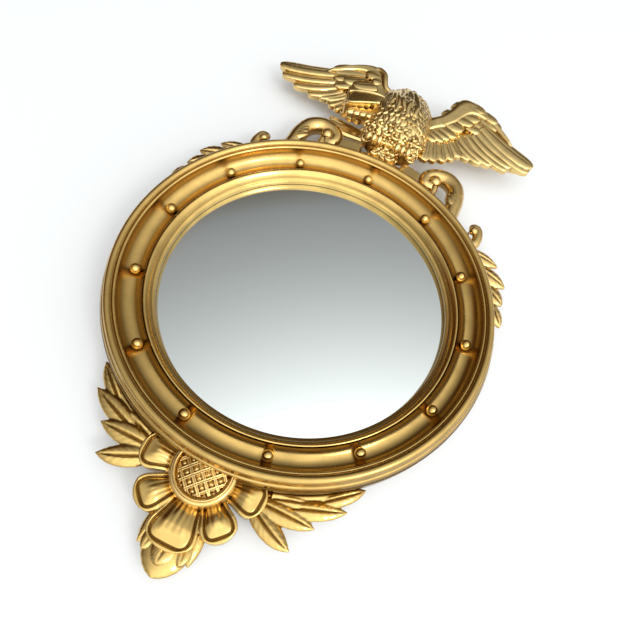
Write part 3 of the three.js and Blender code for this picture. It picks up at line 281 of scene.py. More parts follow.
def carved_piece(name, shells, material, replaced, voxel=0.5, rounds=2, keep=1.0):
    """Overlapping shells fused into one carving, with its edges softened as in a cast. keep is the share of
    its faces that stay."""
    rough = bpy.data.objects.new(name + "_rough", new_mesh(name, joined(shells)))
    bpy.context.scene.collection.objects.link(rough)
    fuse = rough.modifiers.new("fuse", "REMESH")
    fuse.mode = "VOXEL"
    fuse.voxel_size = voxel * MM * 1
    ease = rough.modifiers.new("ease", "SMOOTH")
    ease.factor = 0.5
    ease.iterations = rounds
    if keep < 1:
        rough.modifiers.new("thin", "DECIMATE").ratio = keep
    evaluated = rough.evaluated_get(bpy.context.evaluated_depsgraph_get())
    mesh = bpy.data.meshes.new_from_object(evaluated)
    mesh.name = name
    bpy.data.objects.remove(rough)
    mesh.shade_smooth()
    add_object(name, mesh, material, replaced)


HOLLOW_REACH = 14              # rounds of averaging that tell a hollow from a ridge


def set_hollows(mesh):
    """Stores "hollow" on each vertex, in mm: how far the surface lies under its smoothed self."""
    count = len(mesh.vertices)
    co = np.empty(count * 3, np.float32)
    mesh.vertices.foreach_get("co", co)
    co = co.reshape(-1, 3).astype(float)
    normal = np.empty(count * 3, np.float32)
    mesh.vertices.foreach_get("normal", normal)
    normal = normal.reshape(-1, 3)
    edges = np.empty(len(mesh.edges) * 2, np.int32)
    mesh.edges.foreach_get("vertices", edges)
    a, b = edges.reshape(-1, 2).T
    degree = np.maximum(np.bincount(a, minlength=count) + np.bincount(b, minlength=count), 1)
    smoothed = co.copy()
    for _ in range(HOLLOW_REACH):
        total = np.stack([
            np.bincount(a, smoothed[b, k], count) + np.bincount(b, smoothed[a, k], count) for k in range(3)
        ], -1)
        smoothed = 0.4 * smoothed + 0.6 * total / degree[:, None]
    set_values(mesh, "hollow", np.einsum("ij,ij->i", smoothed - co, normal) / MM)


def set_values(mesh, name, values):
    attribute = mesh.attributes.new(name, "FLOAT", "POINT")
    attribute.data.foreach_set("value", values.astype(np.float32))


# ---------------------------------------------------------------- materials


class Nodes:
    """Short calls for building the node tree of a material or a world."""

    def __init__(self, owner):
        owner.use_nodes = True
        self.owner = owner
        self.tree = owner.node_tree
        self.shader = self.tree.nodes.get("Principled BSDF") or self.tree.nodes["Background"]

    def put(self, socket, value):
        if isinstance(value, bpy.types.NodeSocket):
            self.tree.links.new(value, socket)
        else:
            socket.default_value = (*value, 1) if socket.type == "RGBA" else value

    def add(self, kind, inputs=None, **settings):
        node = self.tree.nodes.new(kind)
        for key, value in settings.items():
            setattr(node, key, value)
        for key, value in (inputs or {}).items():
            self.put(node.inputs[key], value)
        return node

    def ramp(self, factor, stops):
        node = self.add("ShaderNodeValToRGB", {"Fac": factor})
        elements = node.color_ramp.elements
        while len(elements) < len(stops):
            elements.new(1.0)
        for element, (place, colour) in zip(elements, stops):
            element.position = place
            element.color = (*colour, 1)
        return node.outputs["Color"]

    def spread(self, value, low, high, to_low, to_high):
        node = self.add("ShaderNodeMapRange", {
            "Value": value, "From Min": low, "From Max": high, "To Min": to_low, "To Max": to_high,
        })
        return node.outputs["Result"]

    def noise(self, scale, detail, roughness=0.55):
        coordinates = self.add("ShaderNodeTexCoord").outputs["Object"]
        node = self.add("ShaderNodeTexNoise", {
            "Vector": coordinates, "Scale": scale, "Detail": detail, "Roughness": roughness,
        })
        return node.outputs["Fac"]

    def stored(self, name):
        return self.add("ShaderNodeAttribute", attribute_name=name).outputs["Fac"]

    def mix(self, factor, a, b):
        return self.add("ShaderNodeMix", {0: factor, 6: a, 7: b}, data_type="RGBA").outputs[2]

    def math(self, operation, a, b):
        return self.add("ShaderNodeMath", {0: a, 1: b}, operation=operation).outputs["Value"]

    def vector(self, operation, a, b):
        return self.add("ShaderNodeVectorMath", {0: a, 1: b}, operation=operation).outputs

    def bump(self, height, distance):
        node = self.add("ShaderNodeBump", {"Height": height, "Distance": distance, "Strength": 1.0})
        self.put(self.shader.inputs["Normal"], node.outputs["Normal"])

    def set(self, **values):
        for key, value in values.items():
            self.put(self.shader.inputs[key.replace("_", " ")], value)


def new_material(name):
    return Nodes(bpy.data.materials.new(name))


def gold_paint(name, light, hollow_shade, hollow_range, roughness=0.22, grain=0.00001, painted_shade=None):
    """Gold paint with painted shade: a darker brown painted into the hollows, where shade falls, and the
    plain gold on the ridges. Where the mesh stores a share of painted shade, the paint darkens to the given
    shade colour."""
    nodes = new_material(name)
    # painted shade: the hollow colour takes over as the surface sinks below its smoothed self
    depth = nodes.spread(nodes.stored("hollow"), *hollow_range, 0, 1)
    cloud = nodes.noise(45, 4)
    dull = tuple(0.66 * c for c in light)
    colour = nodes.mix(depth, nodes.mix(nodes.spread(cloud, 0.38, 0.66, 0, 0.6), light, dull), hollow_shade)
    # painted shade and painted shadow stored on the mesh darken the paint
    if painted_shade:
        colour = nodes.mix(nodes.stored("painted_shade"), colour, painted_shade)
    patchy = nodes.spread(cloud, 0.3, 0.75, roughness - 0.04, roughness + 0.07)
    rough = nodes.math("ADD", patchy, nodes.spread(depth, 0, 1, 0, 0.12))
    nodes.set(Base_Color=colour, Metallic=1.0, Roughness=rough)
    nodes.bump(nodes.noise(1500, 2), grain)
    return nodes.owner


GOLD = (0.66, 0.435, 0.145)
GOLD_CARVED = (0.69, 0.465, 0.175)
GOLD_EAGLE_LIT = (0.84, 0.6, 0.25)  # painted light: the eagle, high on the mirror, is painted lighter than the ring
# painted shade: the flower, bud and leaf sprays low on the mirror are painted darker than the ring
GOLD_DROP_SHADED = (0.6, 0.4, 0.135)
# painted shade: the colours painted into the hollows of the ring, the balls and the carvings
GOLD_RING_HOLLOW_SHADE = (0.34, 0.2, 0.055)
GOLD_HOLLOW_SHADE = (0.12, 0.06, 0.014)
# painted shade and painted shadow on the ring: its side wall, round the balls and low on its right
GOLD_RING_SHADE = (0.16, 0.09, 0.022)

ring_gold = gold_paint("ring_gold", GOLD, GOLD_RING_HOLLOW_SHADE, (0.02, 0.5), painted_shade=GOLD_RING_SHADE)
ball_gold = gold_paint("ball_gold", GOLD, GOLD_RING_HOLLOW_SHADE, (0.02, 0.5), 0.16, 0.000005)
carved_gold = gold_paint("carved_gold", GOLD_CARVED, GOLD_HOLLOW_SHADE, (0.0, 0.26))
lit_eagle_gold = gold_paint("lit_eagle_gold", GOLD_EAGLE_LIT, GOLD_HOLLOW_SHADE, (0.0, 0.28))
shaded_drop_gold = gold_paint("shaded_drop_gold", GOLD_DROP_SHADED, GOLD_HOLLOW_SHADE, (0.0, 0.26))


def glass_material():
    nodes = new_material("silvered_glass")
    haze = nodes.noise(12, 2)
    nodes.set(
        Base_Color=nodes.mix(haze, (0.66, 0.695, 0.69), (0.68, 0.705, 0.7)),
        Metallic=1.0,
        Roughness=nodes.spread(haze, 0.3, 0.7, 0.015, 0.03),
    )
    return nodes.owner


def board_material():
    """Pressed hardboard: fine fibres in warm brown."""
    nodes = new_material("hardboard")
    fibre = nodes.noise(900, 5, 0.7)
    cloud = nodes.noise(30, 3)
    brown = nodes.ramp(fibre, [(0.3, (0.28, 0.17, 0.09)), (0.7, (0.46, 0.31, 0.17))])
    stained = nodes.mix(nodes.spread(cloud, 0.3, 0.7, 0, 0.4), brown, (0.34, 0.22, 0.12))
    nodes.set(Base_Color=stained, Roughness=0.75)
    nodes.bump(fibre, 0.00015)
    return nodes.owner


def metal_material(name, colour, dull, roughness):
    """Plated metal with faint clouding and fine scratches."""
    nodes = new_material(name)
    cloud = nodes.noise(160, 4)
    scratch = nodes.noise(2400, 2)
    nodes.set(
        Base_Color=nodes.mix(nodes.spread(cloud, 0.35, 0.7, 0, 1), colour, dull),
        Metallic=1.0,
        Roughness=nodes.spread(cloud, 0.3, 0.7, roughness - 0.05, roughness + 0.12),
    )
    nodes.bump(scratch, 0.00001)
    return nodes.owner


def felt_material():
    nodes = new_material("felt")
    fibre = nodes.noise(3000, 5, 0.8)
    grey = nodes.ramp(fibre, [(0.3, (0.05, 0.05, 0.048)), (0.7, (0.13, 0.13, 0.125))])
    nodes.set(Base_Color=grey, Roughness=0.95)
    nodes.bump(fibre, 0.0003)
    return nodes.owner


silvered_glass = glass_material()
hardboard = board_material()
zinc = metal_material("zinc_plate", (0.66, 0.66, 0.65), (0.5, 0.5, 0.49), 0.35)
dull_brass = metal_material("dull_brass", (0.7, 0.55, 0.28), (0.5, 0.37, 0.17), 0.35)
grey_felt = felt_material()

# ---------------------------------------------------------------- turned ring, slip, balls and glass

COVE = (175.5, 7.6, 12.3)      # centre radius, centre h and radius of the hollow that holds the balls
TORUS = (194.2, 12.9, 4.1)
RING_PROFILE = [
    (164.0, -6.0),
    *arc(*COVE, -150, 20, 48),
    (188.0, 13.0), (189.4, 13.2),
    *arc(*TORUS, 190, -18, 28),
    (199.3, 8.6), (200.6, 7.9), (201.5, 6.6),
    (201.6, 4.4), (202.4, 2.4), (203.5, 1.0),
    (203.5, -14.0), (197.0, -24.0), (168.0, -24.0), (168.0, -6.0),
]
SLIP_PROFILE = [
    (153.5, -12.7), (153.5, -7.2), (156.2, -6.0), (157.0, -4.8), (157.6, -2.4), (159.2, -0.4),
    (161.4, 1.6), (162.6, 2.1), (163.7, 1.5), (163.7, -6.3), (167.7, -6.3), (167.7, -12.7),
]


def on_circle(radius, degrees_from_top):
    angle = math.radians(degrees_from_top)
    return radius * math.sin(angle), radius * math.cos(angle)


SIDE_SHADE_FROM_R = 201.5           # painted shade: from this radius out the ring's side wall is painted darker than its face
BALL_SHADOW_R = 9.6                # painted shadow round each ball reaches this near a ball's centre, and fades over the next value
BALL_SHADOW_FADE = 3.2
LOW_RIGHT_SHADE = 0.34                  # painted shade: its share where the ring is painted darkest, low on its right

ring_shell = turned(eased(RING_PROFILE, 0.5, 3), segments=270)
ring_mesh = turned_piece("gilt_ring", [ring_shell], ring_gold, ["frame_ring"], 35)
ring_points = ring_shell[0]
ring_r = np.hypot(ring_points[:, 0], ring_points[:, 1])
# painted shade on the ring's side wall
side_wall_shade = np.clip((ring_r - SIDE_SHADE_FROM_R) / 0.6, 0, 1)
ball_places = [on_circle(BALL_CIRCLE_R, 360 * k / BALL_COUNT) for k in range(BALL_COUNT)]
to_balls = ring_points[:, None] - np.array([(*place, 0) for place in ball_places])
from_ball = np.linalg.norm(to_balls, axis=2).min(1)
# painted shadow where each ball sits in the cove
ball_shadow = 0.9 * np.clip((BALL_SHADOW_R - from_ball) / BALL_SHADOW_FADE, 0, 1)
# painted shade, growing towards the ring's lower right
low_right = ring_points[:, :2] @ (0.45, -0.89) / RING_OUTER_R
low_right_shade = LOW_RIGHT_SHADE * np.clip(0.25 + low_right, 0, 1)
# stores the ring's painted shade and painted shadows
set_values(ring_mesh, "painted_shade", np.maximum.reduce([side_wall_shade, ball_shadow, low_right_shade]))
turned_piece("gilt_slip", [turned(eased(SLIP_PROFILE, 0.5, 3))], ring_gold, ["sight_slip"], 35)


def seated_ball(centre):
    """A turned ball with the small collar that seats it in the cove."""
    polar = np.radians(np.linspace(89.5, -46, 26))
    profile = [(BALL_R * math.cos(a), BALL_R * math.sin(a)) for a in polar]
    outline = [(0.02, BALL_R), *profile, (3.6, -4.3), (3.6, -4.75), (0.02, -4.75)]
    return turned(outline, centre, 48)


for number, place in enumerate(ball_places, 1):
    shells = [seated_ball(place)]
    turned_piece(f"gilt_ball_{number:02d}", shells, ball_gold, [f"ball_{number:02d}"], 60)


def glass_h(r):
    return GLASS_EDGE_H + (SIGHT_R**2 - r**2) / (2 * GLASS_SPHERE_R)


radii = np.linspace(0.05, RABBET_R - 0.6, 48)
face = [(r, glass_h(r)) for r in radii]
back = [(r, glass_h(r) - GLASS_THICKNESS) for r in radii[::-1]]
turned_piece("convex_glass", [turned([*face, *back])], silvered_glass, ["mirror_glass"])

# ---------------------------------------------------------------- the eagle's wings


def mantle(stations, crown, back, rows=48, across=22):
    """The smooth muscle of a wing between its leading and trailing edge.
    Stations are [lead x, lead z, trail x, trail z, h of the base]."""
    s = smooth_curve(stations, rows)
    lead = np.stack([s[:, 0], s[:, 1], s[:, 4]], -1)
    trail = np.stack([s[:, 2], s[:, 3], s[:, 4]], -1)
    v = np.linspace(0, 1, across + 1)
    rise = np.sqrt(np.clip(1 - (1 - np.clip(v / 0.42, 0, 1)) ** 2, 0, 1))
    rise = rise * (1 - 0.35 * np.clip(v - 0.42, 0, 1))
    rise = rise * np.sqrt(np.clip(1 - np.clip((v - 0.86) / 0.14, 0, 1) ** 2, 0, 1))
    ends = np.sqrt(np.clip(np.minimum(np.linspace(0, 1, rows + 1), np.linspace(1, 0, rows + 1)) * 12, 0.1, 1))
    top = lead[:, None] + (trail - lead)[:, None] * v[None, :, None]
    top[..., 2] += crown * rise[None] * ends[:, None]
    behind = lead[:, None] + (trail - lead)[:, None] * v[None, ::-1, None]
    behind[..., 2] -= back
    return loft(np.concatenate([top, behind], 1))


def slab(outline, back_h, front_h):
    outline = np.asarray(outline, float)
    rings = [np.column_stack([outline, np.full(len(outline), h)]) for h in (back_h, front_h)]
    return loft(rings)


# Right wing. Feathers are [root x, root z, tip x, tip z, half width, h of the middle line, bend].
RIGHT_PRIMARIES = [
    (103, 334, 179, 300, 12.5, 6.5, -7),
    (99, 325, 176.5, 291, 10, 4.6, -8),
    (95, 316, 154, 288, 8, 3.4, -9),
    (87, 312, 151, 282, 8, 2.4, -11),
    (79, 306, 130, 279.5, 7.5, 1.6, -10),
    (73, 300, 118, 277, 7.5, 0.8, -9),
    (67, 296, 103, 275.5, 7.5, 0.2, -6),
]
RIGHT_SECONDARIES = [
    (64, 300, 89.5, 268.5, 8, 2.6, -3),
    (57, 296, 82, 257.5, 8, 3.0, -2),
    (51, 292, 72, 248.5, 8, 3.4, 0),
    (45, 288, 60, 241.5, 8, 3.8, 1),
    (39, 286, 49, 236.5, 8, 4.2, 2),
]
RIGHT_COVERTS = [
    (80, 353, 124, 340, 10, 9.0, 3),
    (80, 341, 111, 331, 7.6, 8.4, 1),
    (74, 329, 101, 321, 7.2, 7.8, 0),
    (60, 340, 94, 339, 9.2, 11.6, 0),
    (54, 330, 88, 326, 8.4, 11.2, 0),
    (48, 318, 79.5, 309, 9, 10.8, -2),
    (44, 304, 75, 293, 6.6, 10.0, -2),
    (40, 296, 68, 284.5, 6, 9.6, -2),
    (36, 289, 62, 277, 5.6, 9.2, -1),
    (32, 282, 53.5, 273, 5.4, 8.8, 0),
]
RIGHT_MANTLE = [
    (28, 306, 33, 280, 8), (40, 315, 46, 292, 8), (47, 325, 56, 302, 8.5), (52.5, 341, 66, 315, 9),
    (56, 355, 73, 330, 9.5), (62.5, 365, 80, 340, 10), (73, 367.5, 89, 344, 9.5), (89, 362.5, 100, 343, 8.5),
    (107, 353.5, 111, 341, 7.5), (123, 342.5, 122, 333, 6.5), (138, 329, 137, 322, 6),
    (150, 317, 148, 312, 5.5),
]
RIGHT_DOWN = [                 # small soft feathers on the mantle
    (40, 312, 56, 302, 6.5, 11.9, 0), (47, 330, 66, 321, 7, 12.7, 0), (54, 350, 78, 341, 8, 13.4, 0),
    (68, 361, 96, 352, 7.5, 13.6, 1), (88, 357, 116, 345, 6.5, 12.5, 1),
]
RIGHT_CORE = [
    (30, 262), (30, 308), (44, 316), (53, 340), (60, 360), (72, 365), (104, 352), (120, 340),
    (150, 313), (174, 303), (172, 292), (148, 286), (120, 282), (92, 280), (76, 264), (58, 250), (40, 248),
]

# Left wing, set back from the right one.
LEFT_PRIMARIES = [
    (-104, 333, -182, 304, 11, -2.5, 6),
    (-100, 322, -172, 291, 9, -4.4, 8),
    (-96, 313, -151, 281, 8, -5.4, 8),
    (-92, 306, -128, 277.5, 7.5, -6.2, 7),
    (-86, 304, -113, 279.5, 7, -6.8, 5),
    (-82, 300, -104, 281, 6, -7.2, 3),
    (-78, 298, -96, 273.5, 6, -7.6, 2),
    (-72, 296, -86, 271, 6, -8.0, 1),
]
LEFT_SECONDARIES = [
    (-66, 292, -72, 264, 6.5, -3.6, 0),
    (-56, 290, -62, 259, 6.5, -2.8, -1),
    (-46, 290, -51, 259, 6.5, -2.0, -2),
    (-36, 290, -40, 262, 6.5, -1.2, -3),
]
LEFT_COVERTS = [
    (-66, 357, -116, 331, 11, 1.6, -2),
    (-70, 343, -108, 318, 8, 1.2, 0),
    (-68, 332, -102, 305, 7.6, 0.6, 0),
    (-66, 338, -95, 319, 8.4, 2.6, 0),
    (-46, 352, -73, 350, 9.5, 4.6, 0),
    (-44, 342, -61, 340, 7, 4.4, 0),
    (-50, 334, -80, 316, 9, 4.0, 1),
    (-50, 322, -82, 306, 8, 3.0, 2),
]
LEFT_MANTLE = [
    (-22, 318, -26, 298, 0), (-32, 330, -37, 306, 0), (-40, 338, -45, 316, 0), (-47, 349, -50, 328, 0.5),
    (-54.5, 362, -57, 342, 1), (-63.5, 368.5, -66, 348, 1.5), (-77, 364.5, -78, 349, 1.5),
    (-94, 353.5, -95, 340, 1), (-112, 335, -112, 327, 0.5), (-122, 327, -121, 322, 0),
]
LEFT_CURL = [                  # the shoulder hooks over into a curl
    (-66, 360, 2), (-58, 362, 4.5), (-49, 355, 6), (-44, 344, 6), (-39, 335, 5), (-30, 330, 4),
]
LEFT_CORE = [
    (-24, 300), (-30, 328), (-46, 345), (-55, 361), (-66, 366), (-92, 352), (-113, 331), (-134, 317),
    (-156, 311), (-178, 309), (-176, 298), (-150, 288), (-126, 283), (-104, 284), (-88, 276), (-40, 270),
]


def feathers(rows, crown, **options):
    return [
        blade((x0, z0, h + 2), (x1, z1, h + 1), half, FEATHER, bend=-bend, crown=crown, back=5,
              steps=48, across=22, **options)
        for x0, z0, x1, z1, half, h, bend in rows
    ]


def coverts(rows, tilt):
    return [
        blade((x0, z0, h - 2.2), (x1, z1, h - 0.6), 1.22 * half, LOBE, bend=-bend, crown=2.3, back=6,
              arch=1.4, tilt=tilt, vein=0.35, across=22)
        for x0, z0, x1, z1, half, h, bend in rows
    ]


right_wing = [
    slab(RIGHT_CORE, -4, 1),
    mantle(RIGHT_MANTLE, 6, 10),
    *feathers(RIGHT_PRIMARIES, 2.4, vein=0.8, tilt=1.5),
    *feathers(RIGHT_SECONDARIES, 2.6, vein=0.9, tilt=1.2),
    *coverts(RIGHT_COVERTS, 0.9),
    *coverts(RIGHT_DOWN, 0.6),
]
left_wing = [
    slab(LEFT_CORE, -12, -8),
    mantle(LEFT_MANTLE, 5, 9),
    *feathers(LEFT_PRIMARIES, 2.4, vein=0.8, tilt=-1.5),
    *feathers(LEFT_SECONDARIES, 2.8, vein=1.0),
    *coverts(LEFT_COVERTS, -0.9),
    tube(LEFT_CURL, lambda t: 5.2 - 2.2 * t, 40, 18, 0.8),
]
carved_piece("right_wing", right_wing, lit_eagle_gold, ["eagle_wing_right"], keep=0.65)
carved_piece("left_wing", left_wing, lit_eagle_gold, ["eagle_wing_left"], keep=0.58)

# ---------------------------------------------------------------- the eagle's body, head, feet and tail

BODY_BOTTOM = 224.8
BODY_HEIGHT = 111.0
BODY_MIDDLE_H = 7.0
BODY_SECTIONS = np.array([     # height share, x off the middle, half width, middle h, half depth
    (0, 0, 31, 2, 14), (0.12, 0, 37, 5, 20), (0.33, 0, 38, 8, 25), (0.54, -1, 36, 9, 25),
    (0.72, -2, 33, 8, 21), (0.86, -4, 26, 7, 16), (0.96, -5, 14, 6, 10), (1, -5, 1, 6, 1),
])


def body_point(share, angle):
    shares, *columns = BODY_SECTIONS.T
    dx, half, middle, depth = (np.interp(share, shares, column) for column in columns)
    return np.array([
        EAGLE_X + dx + half * np.cos(angle),
        BODY_BOTTOM + share * BODY_HEIGHT + 0 * angle,
        middle + depth * np.sin(angle),
    ]).T


def skin(share, angle):
    return body_point(share, np.array([angle]))[0]


def body_core():
    shares = np.linspace(0, 1, 40)
    angle = np.linspace(0, 2 * math.pi, 48, endpoint=False)
    return loft([body_point(share, angle) for share in shares])


def plumage():
    """Overlapping scale feathers down the neck and breast."""
    shells = []
    for row, share in enumerate(np.arange(0.965, 0.06, -0.062)):
        half = np.interp(share, BODY_SECTIONS[:, 0], BODY_SECTIONS[:, 2])
        count = max(7, round(2 * math.pi * half / 8.2))
        for k in range(count):
            angle = 2 * math.pi * (k + 0.5 * (row % 2) + RANDOM.uniform(-0.12, 0.12)) / count
            here = skin(share, angle)
            down = unit(skin(share - 0.01, angle) - here)
            normal = unit(np.cross(down, skin(share, angle + 0.02) - here))
            if np.dot(normal, here - np.array([EAGLE_X, here[1], BODY_MIDDLE_H])) < 0:
                normal = -normal
            down = unit(down + RANDOM.uniform(-0.25, 0.25) * np.cross(down, normal))
            length = RANDOM.uniform(10.5, 13.5)
            size = RANDOM.uniform(0.88, 1.12)
            shells.append(blade(
                here - 4 * down - 0.6 * normal, here + (length - 4) * down + 1.3 * normal, 4.6 * size, SCALE,
                crown=1.5 * size, back=1.8, vein=0.5, steps=12, across=8, normal=normal, arch=0.4,
            ))
    return shells


def on_body(share, angle, lift):
    """A place on the body's skin, lifted off it by some mm."""
    here = skin(share, angle)
    middle_x = EAGLE_X + np.interp(share, BODY_SECTIONS[:, 0], BODY_SECTIONS[:, 1])
    return here + lift * unit(here - np.array([middle_x, here[1], BODY_MIDDLE_H]))


def ringlets():
    """Long wavy locks down the neck on the side that the head turns to."""
    shells = []
    for k, degrees in enumerate(range(82, 206, 13)):
        start, end = 0.93 - 0.05 * (k % 3), 0.4 - 0.05 * (k % 2)
        path = []
        for t in np.linspace(0, 1, 9):
            angle = math.radians(degrees - 16 * t) + 0.055 * math.sin(7.5 * t + 1.7 * k)
            path.append(on_body(start + (end - start) * t, angle, 0.9 + 0.5 * math.sin(9 * t + k)))
        shells.append(tube(path, lambda t: 3.5 - 0.9 * abs(2 * t - 1) ** 2, 60, 14, 0.8))
    return shells


def curl(centre, reach, turn, sweep, root_h, fall, radius, taper, knob, knob_h):
    """A small hook round a ball."""
    hook = [
        centre + np.array([reach * math.cos(turn + a), reach * math.sin(turn + a), root_h - fall * a])
        for a in np.linspace(0, sweep, 7)
    ]
    middle = centre + np.array([0, 0, knob_h])
    return [tube(hook, lambda t: radius - taper * t, 24, 10), ball(middle, knob, 10)]


def curls():
    """Knotted curls at the foot of the body and in front of the plinth's middle."""
    shells = []
    for row, (share, count, size) in enumerate(((0.17, 9, 4.6), (0.09, 8, 5.0), (0.02, 9, 4.4))):
        for k in range(count):
            centre = on_body(share, math.radians(18 + 150 * (k + 0.5 * (row % 2)) / count), 1.6)
            shells += curl(centre, size * 1.05, 2.4 * k + row, 4.2, 0.9, 0.5, 2.3, 0.9, 2.1, 0.6)
    for row, z in enumerate((227.5, 220.5, 214)):
        for k in range(5 - row % 2):
            centre = np.array([EAGLE_X - 13 + 6.6 * k + 3.3 * (row % 2), z, 8.6 - 0.8 * row])
            shells += curl(centre, 4, 1.9 * k + 2 * row, 4, 1, 0.4, 2.2, 0.8, 3.0, 0)
    return shells


torso = [body_core(), *plumage(), *ringlets(), *curls()]
carved_piece("eagle_torso", torso, lit_eagle_gold, ["eagle_body"], rounds=1, keep=0.58)

HEAD_SECTIONS = np.array([     # x, crown z, brow z, chin z, back h, brow h, chin h
    (-14, 297, 291, 276, 0, 22, 22),
    (-30, 303, 292, 275, -4, 25, 26),
    (-46, 303, 290, 267, -5, 24, 25.5),
    (-60, 299, 288, 261, -4, 21.5, 23.5),
    (-69, 294, 287, 258, -2, 19, 21.5),
    (-75, 288, 285, 264, 4, 15, 17),
])
CHEEK_EDGE = [                 # the raised edge round the flat of the cheek
    (-20, 290.5, 23), (-40, 290, 25), (-60, 287.5, 22), (-71, 285.5, 18.5), (-74.5, 280, 18),
    (-70, 266, 20.5), (-65, 260.5, 22.5), (-50, 266, 25), (-34, 273.5, 26),
]
CHEEK_EDGE_R = 1.5


def head():
    """Squared head turned to the viewer's left, with a flat cheek under a firm brow and a heavy beak."""
    rows = smooth_curve(HEAD_SECTIONS, 40)
    rings = []
    for x, crown, brow, chin, back_h, brow_h, chin_h in rows:
        outline = eased([
            (crown, 0.6 * back_h + 0.4 * brow_h), (brow, brow_h), (chin, chin_h), (chin + 2, back_h),
            (crown - 6, back_h),
        ], 3, 5)
        rings.append([(x, z, h) for z, h in outline])
    jaw = [
        blade((-30 - 8 * i, 272 - 3.2 * i, 15), (-39 - 8.5 * i, 254 - 0.6 * i, 17 - i), 5.2, LOBE, crown=3,
              back=6, vein=0.5, bend=-2, across=16)
        for i in range(4)
    ]
    return [loft(rings), tube(CHEEK_EDGE, lambda t: CHEEK_EDGE_R, 90, 12), *jaw]


carved_piece("eagle_face", head(), lit_eagle_gold, ["eagle_head"])


def foot(x):
    """Three knuckled toes over the plinth's front edge, each with a claw."""
    shells = []
    for spread in (-1, 0, 1):
        path = [
            (x + 3 * spread, 234, 12), (x + 5 * spread, 231.5, 18), (x + 6.5 * spread, 227, 20.5),
            (x + 7.5 * spread, 221, 17.5), (x + 8 * spread, 216, 11),
        ]
        shells.append(tube(path, lambda t: 3.3 + 1.1 * math.sin(11 * t + 0.6) - 2.3 * t**3, 36, 14))
    return shells


SIDES = (("left", -1), ("right", 1))
FOOT_SPACING = 19              # from the eagle's middle
for side_name, side in SIDES:
    toes = foot(EAGLE_X + side * FOOT_SPACING)
    carved_piece(f"talons_{side_name}", toes, lit_eagle_gold, [f"eagle_foot_{side_name}"], voxel=0.45)

TAIL_FEATHERS = [(-20, 250 + 3 * i, -88, 246 + 8.5 * i) for i in range(3)]
carved_piece("tail", [
    blade((x0, z0, -15), (x1, z1, -16), 6, FEATHER, crown=3.4, back=3, vein=0.9, across=20)
    for x0, z0, x1, z1 in TAIL_FEATHERS
], lit_eagle_gold, ["eagle_tail"], voxel=0.62)

# ---------------------------------------------------------------- plinth, scrolls, volutes and leaves


def ring_sector(inner, outer, start, end, back_h, front_h, steps=24):
    """A slice of a turned band between two angles from the top, in degrees."""
    rings = []
    for angle in np.radians(np.linspace(start, end, steps + 1)):
        ring = [(inner, back_h), (outer, back_h), (outer, front_h), (inner, front_h)]
        rings.append([(r * math.sin(angle), r * math.cos(angle), h) for r, h in eased(ring, 1.2, 3)])
    return loft(rings)


def plinth():
    shells = [ring_sector(RING_OUTER_R + 0.4, 215, -14.5, 14.8, -24, 1)]
    for x0, x1, top0, top1 in ((-53, -26, 214, 219.5), (-17, 20, 224, 224), (28, 54, 219.5, 213)):
        for low_share, front in ((0.0, 6.0), (0.55, 3.8)):
            bottom = [math.sqrt((RING_OUTER_R + 0.6) ** 2 - x * x) for x in (x0, x1)]
            base = [b + low_share * (t - b) for b, t in zip(bottom, (top0, top1))]
            outline = [(x0, base[0]), (x1, base[1]), (x1, top1), (x0, top0)]
            rings = []
            for h, inset in ((-24, 0), (front - 1.2, 0), (front - 0.3, 0.4), (front, 1.2)):
                middle = np.mean(outline, 0)
                rings.append([
                    (*(np.array(p) + inset * unit(middle - np.array(p))), h) for p in outline
                ])
            shells.append(loft(rings))
    return shells


carved_piece("plinth_blocks", plinth(), carved_gold, ["plinth"])

SCROLL_X = 86.0
SCROLL_H = -8.0
SCROLL_PATH = [                # x off the scroll's middle, z
    (22, 176), (21, 190), (20, 208), (14, 225), (1, 234), (-14, 232), (-23, 224), (-22, 214), (-13, 214),
]
SCROLL_STEM = [(-12, 221, 1), (-9, 212, 1), (-9, 203, 0), (-5, 195, 0), (2, 188, 0)]


def scroll(side):
    def place(dx, z, lift=0):
        return side * (SCROLL_X + dx), z, SCROLL_H + lift

    rail = tube([place(*row) for row in SCROLL_PATH],
                lambda t: 9.2 + 2.0 * math.sin(math.pi * t) - 2.6 * t**2.5, 72, 28)
    stem = tube([place(*row) for row in SCROLL_STEM], lambda t: 4.4 - 0.8 * t, 30)
    wrap = [
        blade(place(26, 186 + 3 * i, 3.5), place(7 + 2 * i, 204 + 7 * i, 7), 5.6, LEAF, crown=3.4, back=6,
              vein=0.6, arch=3.5, bend=side * 3)
        for i in range(4)
    ]
    return [rail, ball(place(-12, 219.5, 4), 7.8), stem, *wrap]


def cut_by_ring(shells, edge=RING_OUTER_R + 0.2):
    """Keeps the shells outside the turned ring by sliding what lies inside it out to its edge."""
    kept = []
    for points, triangles in shells:
        points = points.copy()
        radius = np.hypot(points[:, 0], points[:, 1])
        inside = radius < edge
        points[inside, :2] *= (edge / radius[inside])[:, None]
        kept.append((points, triangles))
    return kept


for side_name, side in SIDES:
    carved_piece(f"c_scroll_{side_name}", cut_by_ring(scroll(side)), carved_gold, [f"scroll_{side_name}"])

VOLUTE_X = 143.0


def volute(side):
    path = [(-9, 146, -12), (3, 160, -12), (5, 172, -11), (2, 181, -10), (-4, 181, -9), (-3, 175, -8)]
    return [
        tube([(side * (VOLUTE_X + dx), z, h) for dx, z, h in path], lambda t: 7.4 - 3.4 * t, 40, 16),
        ball((side * (VOLUTE_X - 2.5), 175.5, -7.5), 5.4),
        blade((side * (VOLUTE_X - 8), 147, -10), (side * (VOLUTE_X - 7), 172, -9), 5.5, LEAF, crown=3, back=4,
              vein=0.8, bend=side * -3),
    ]


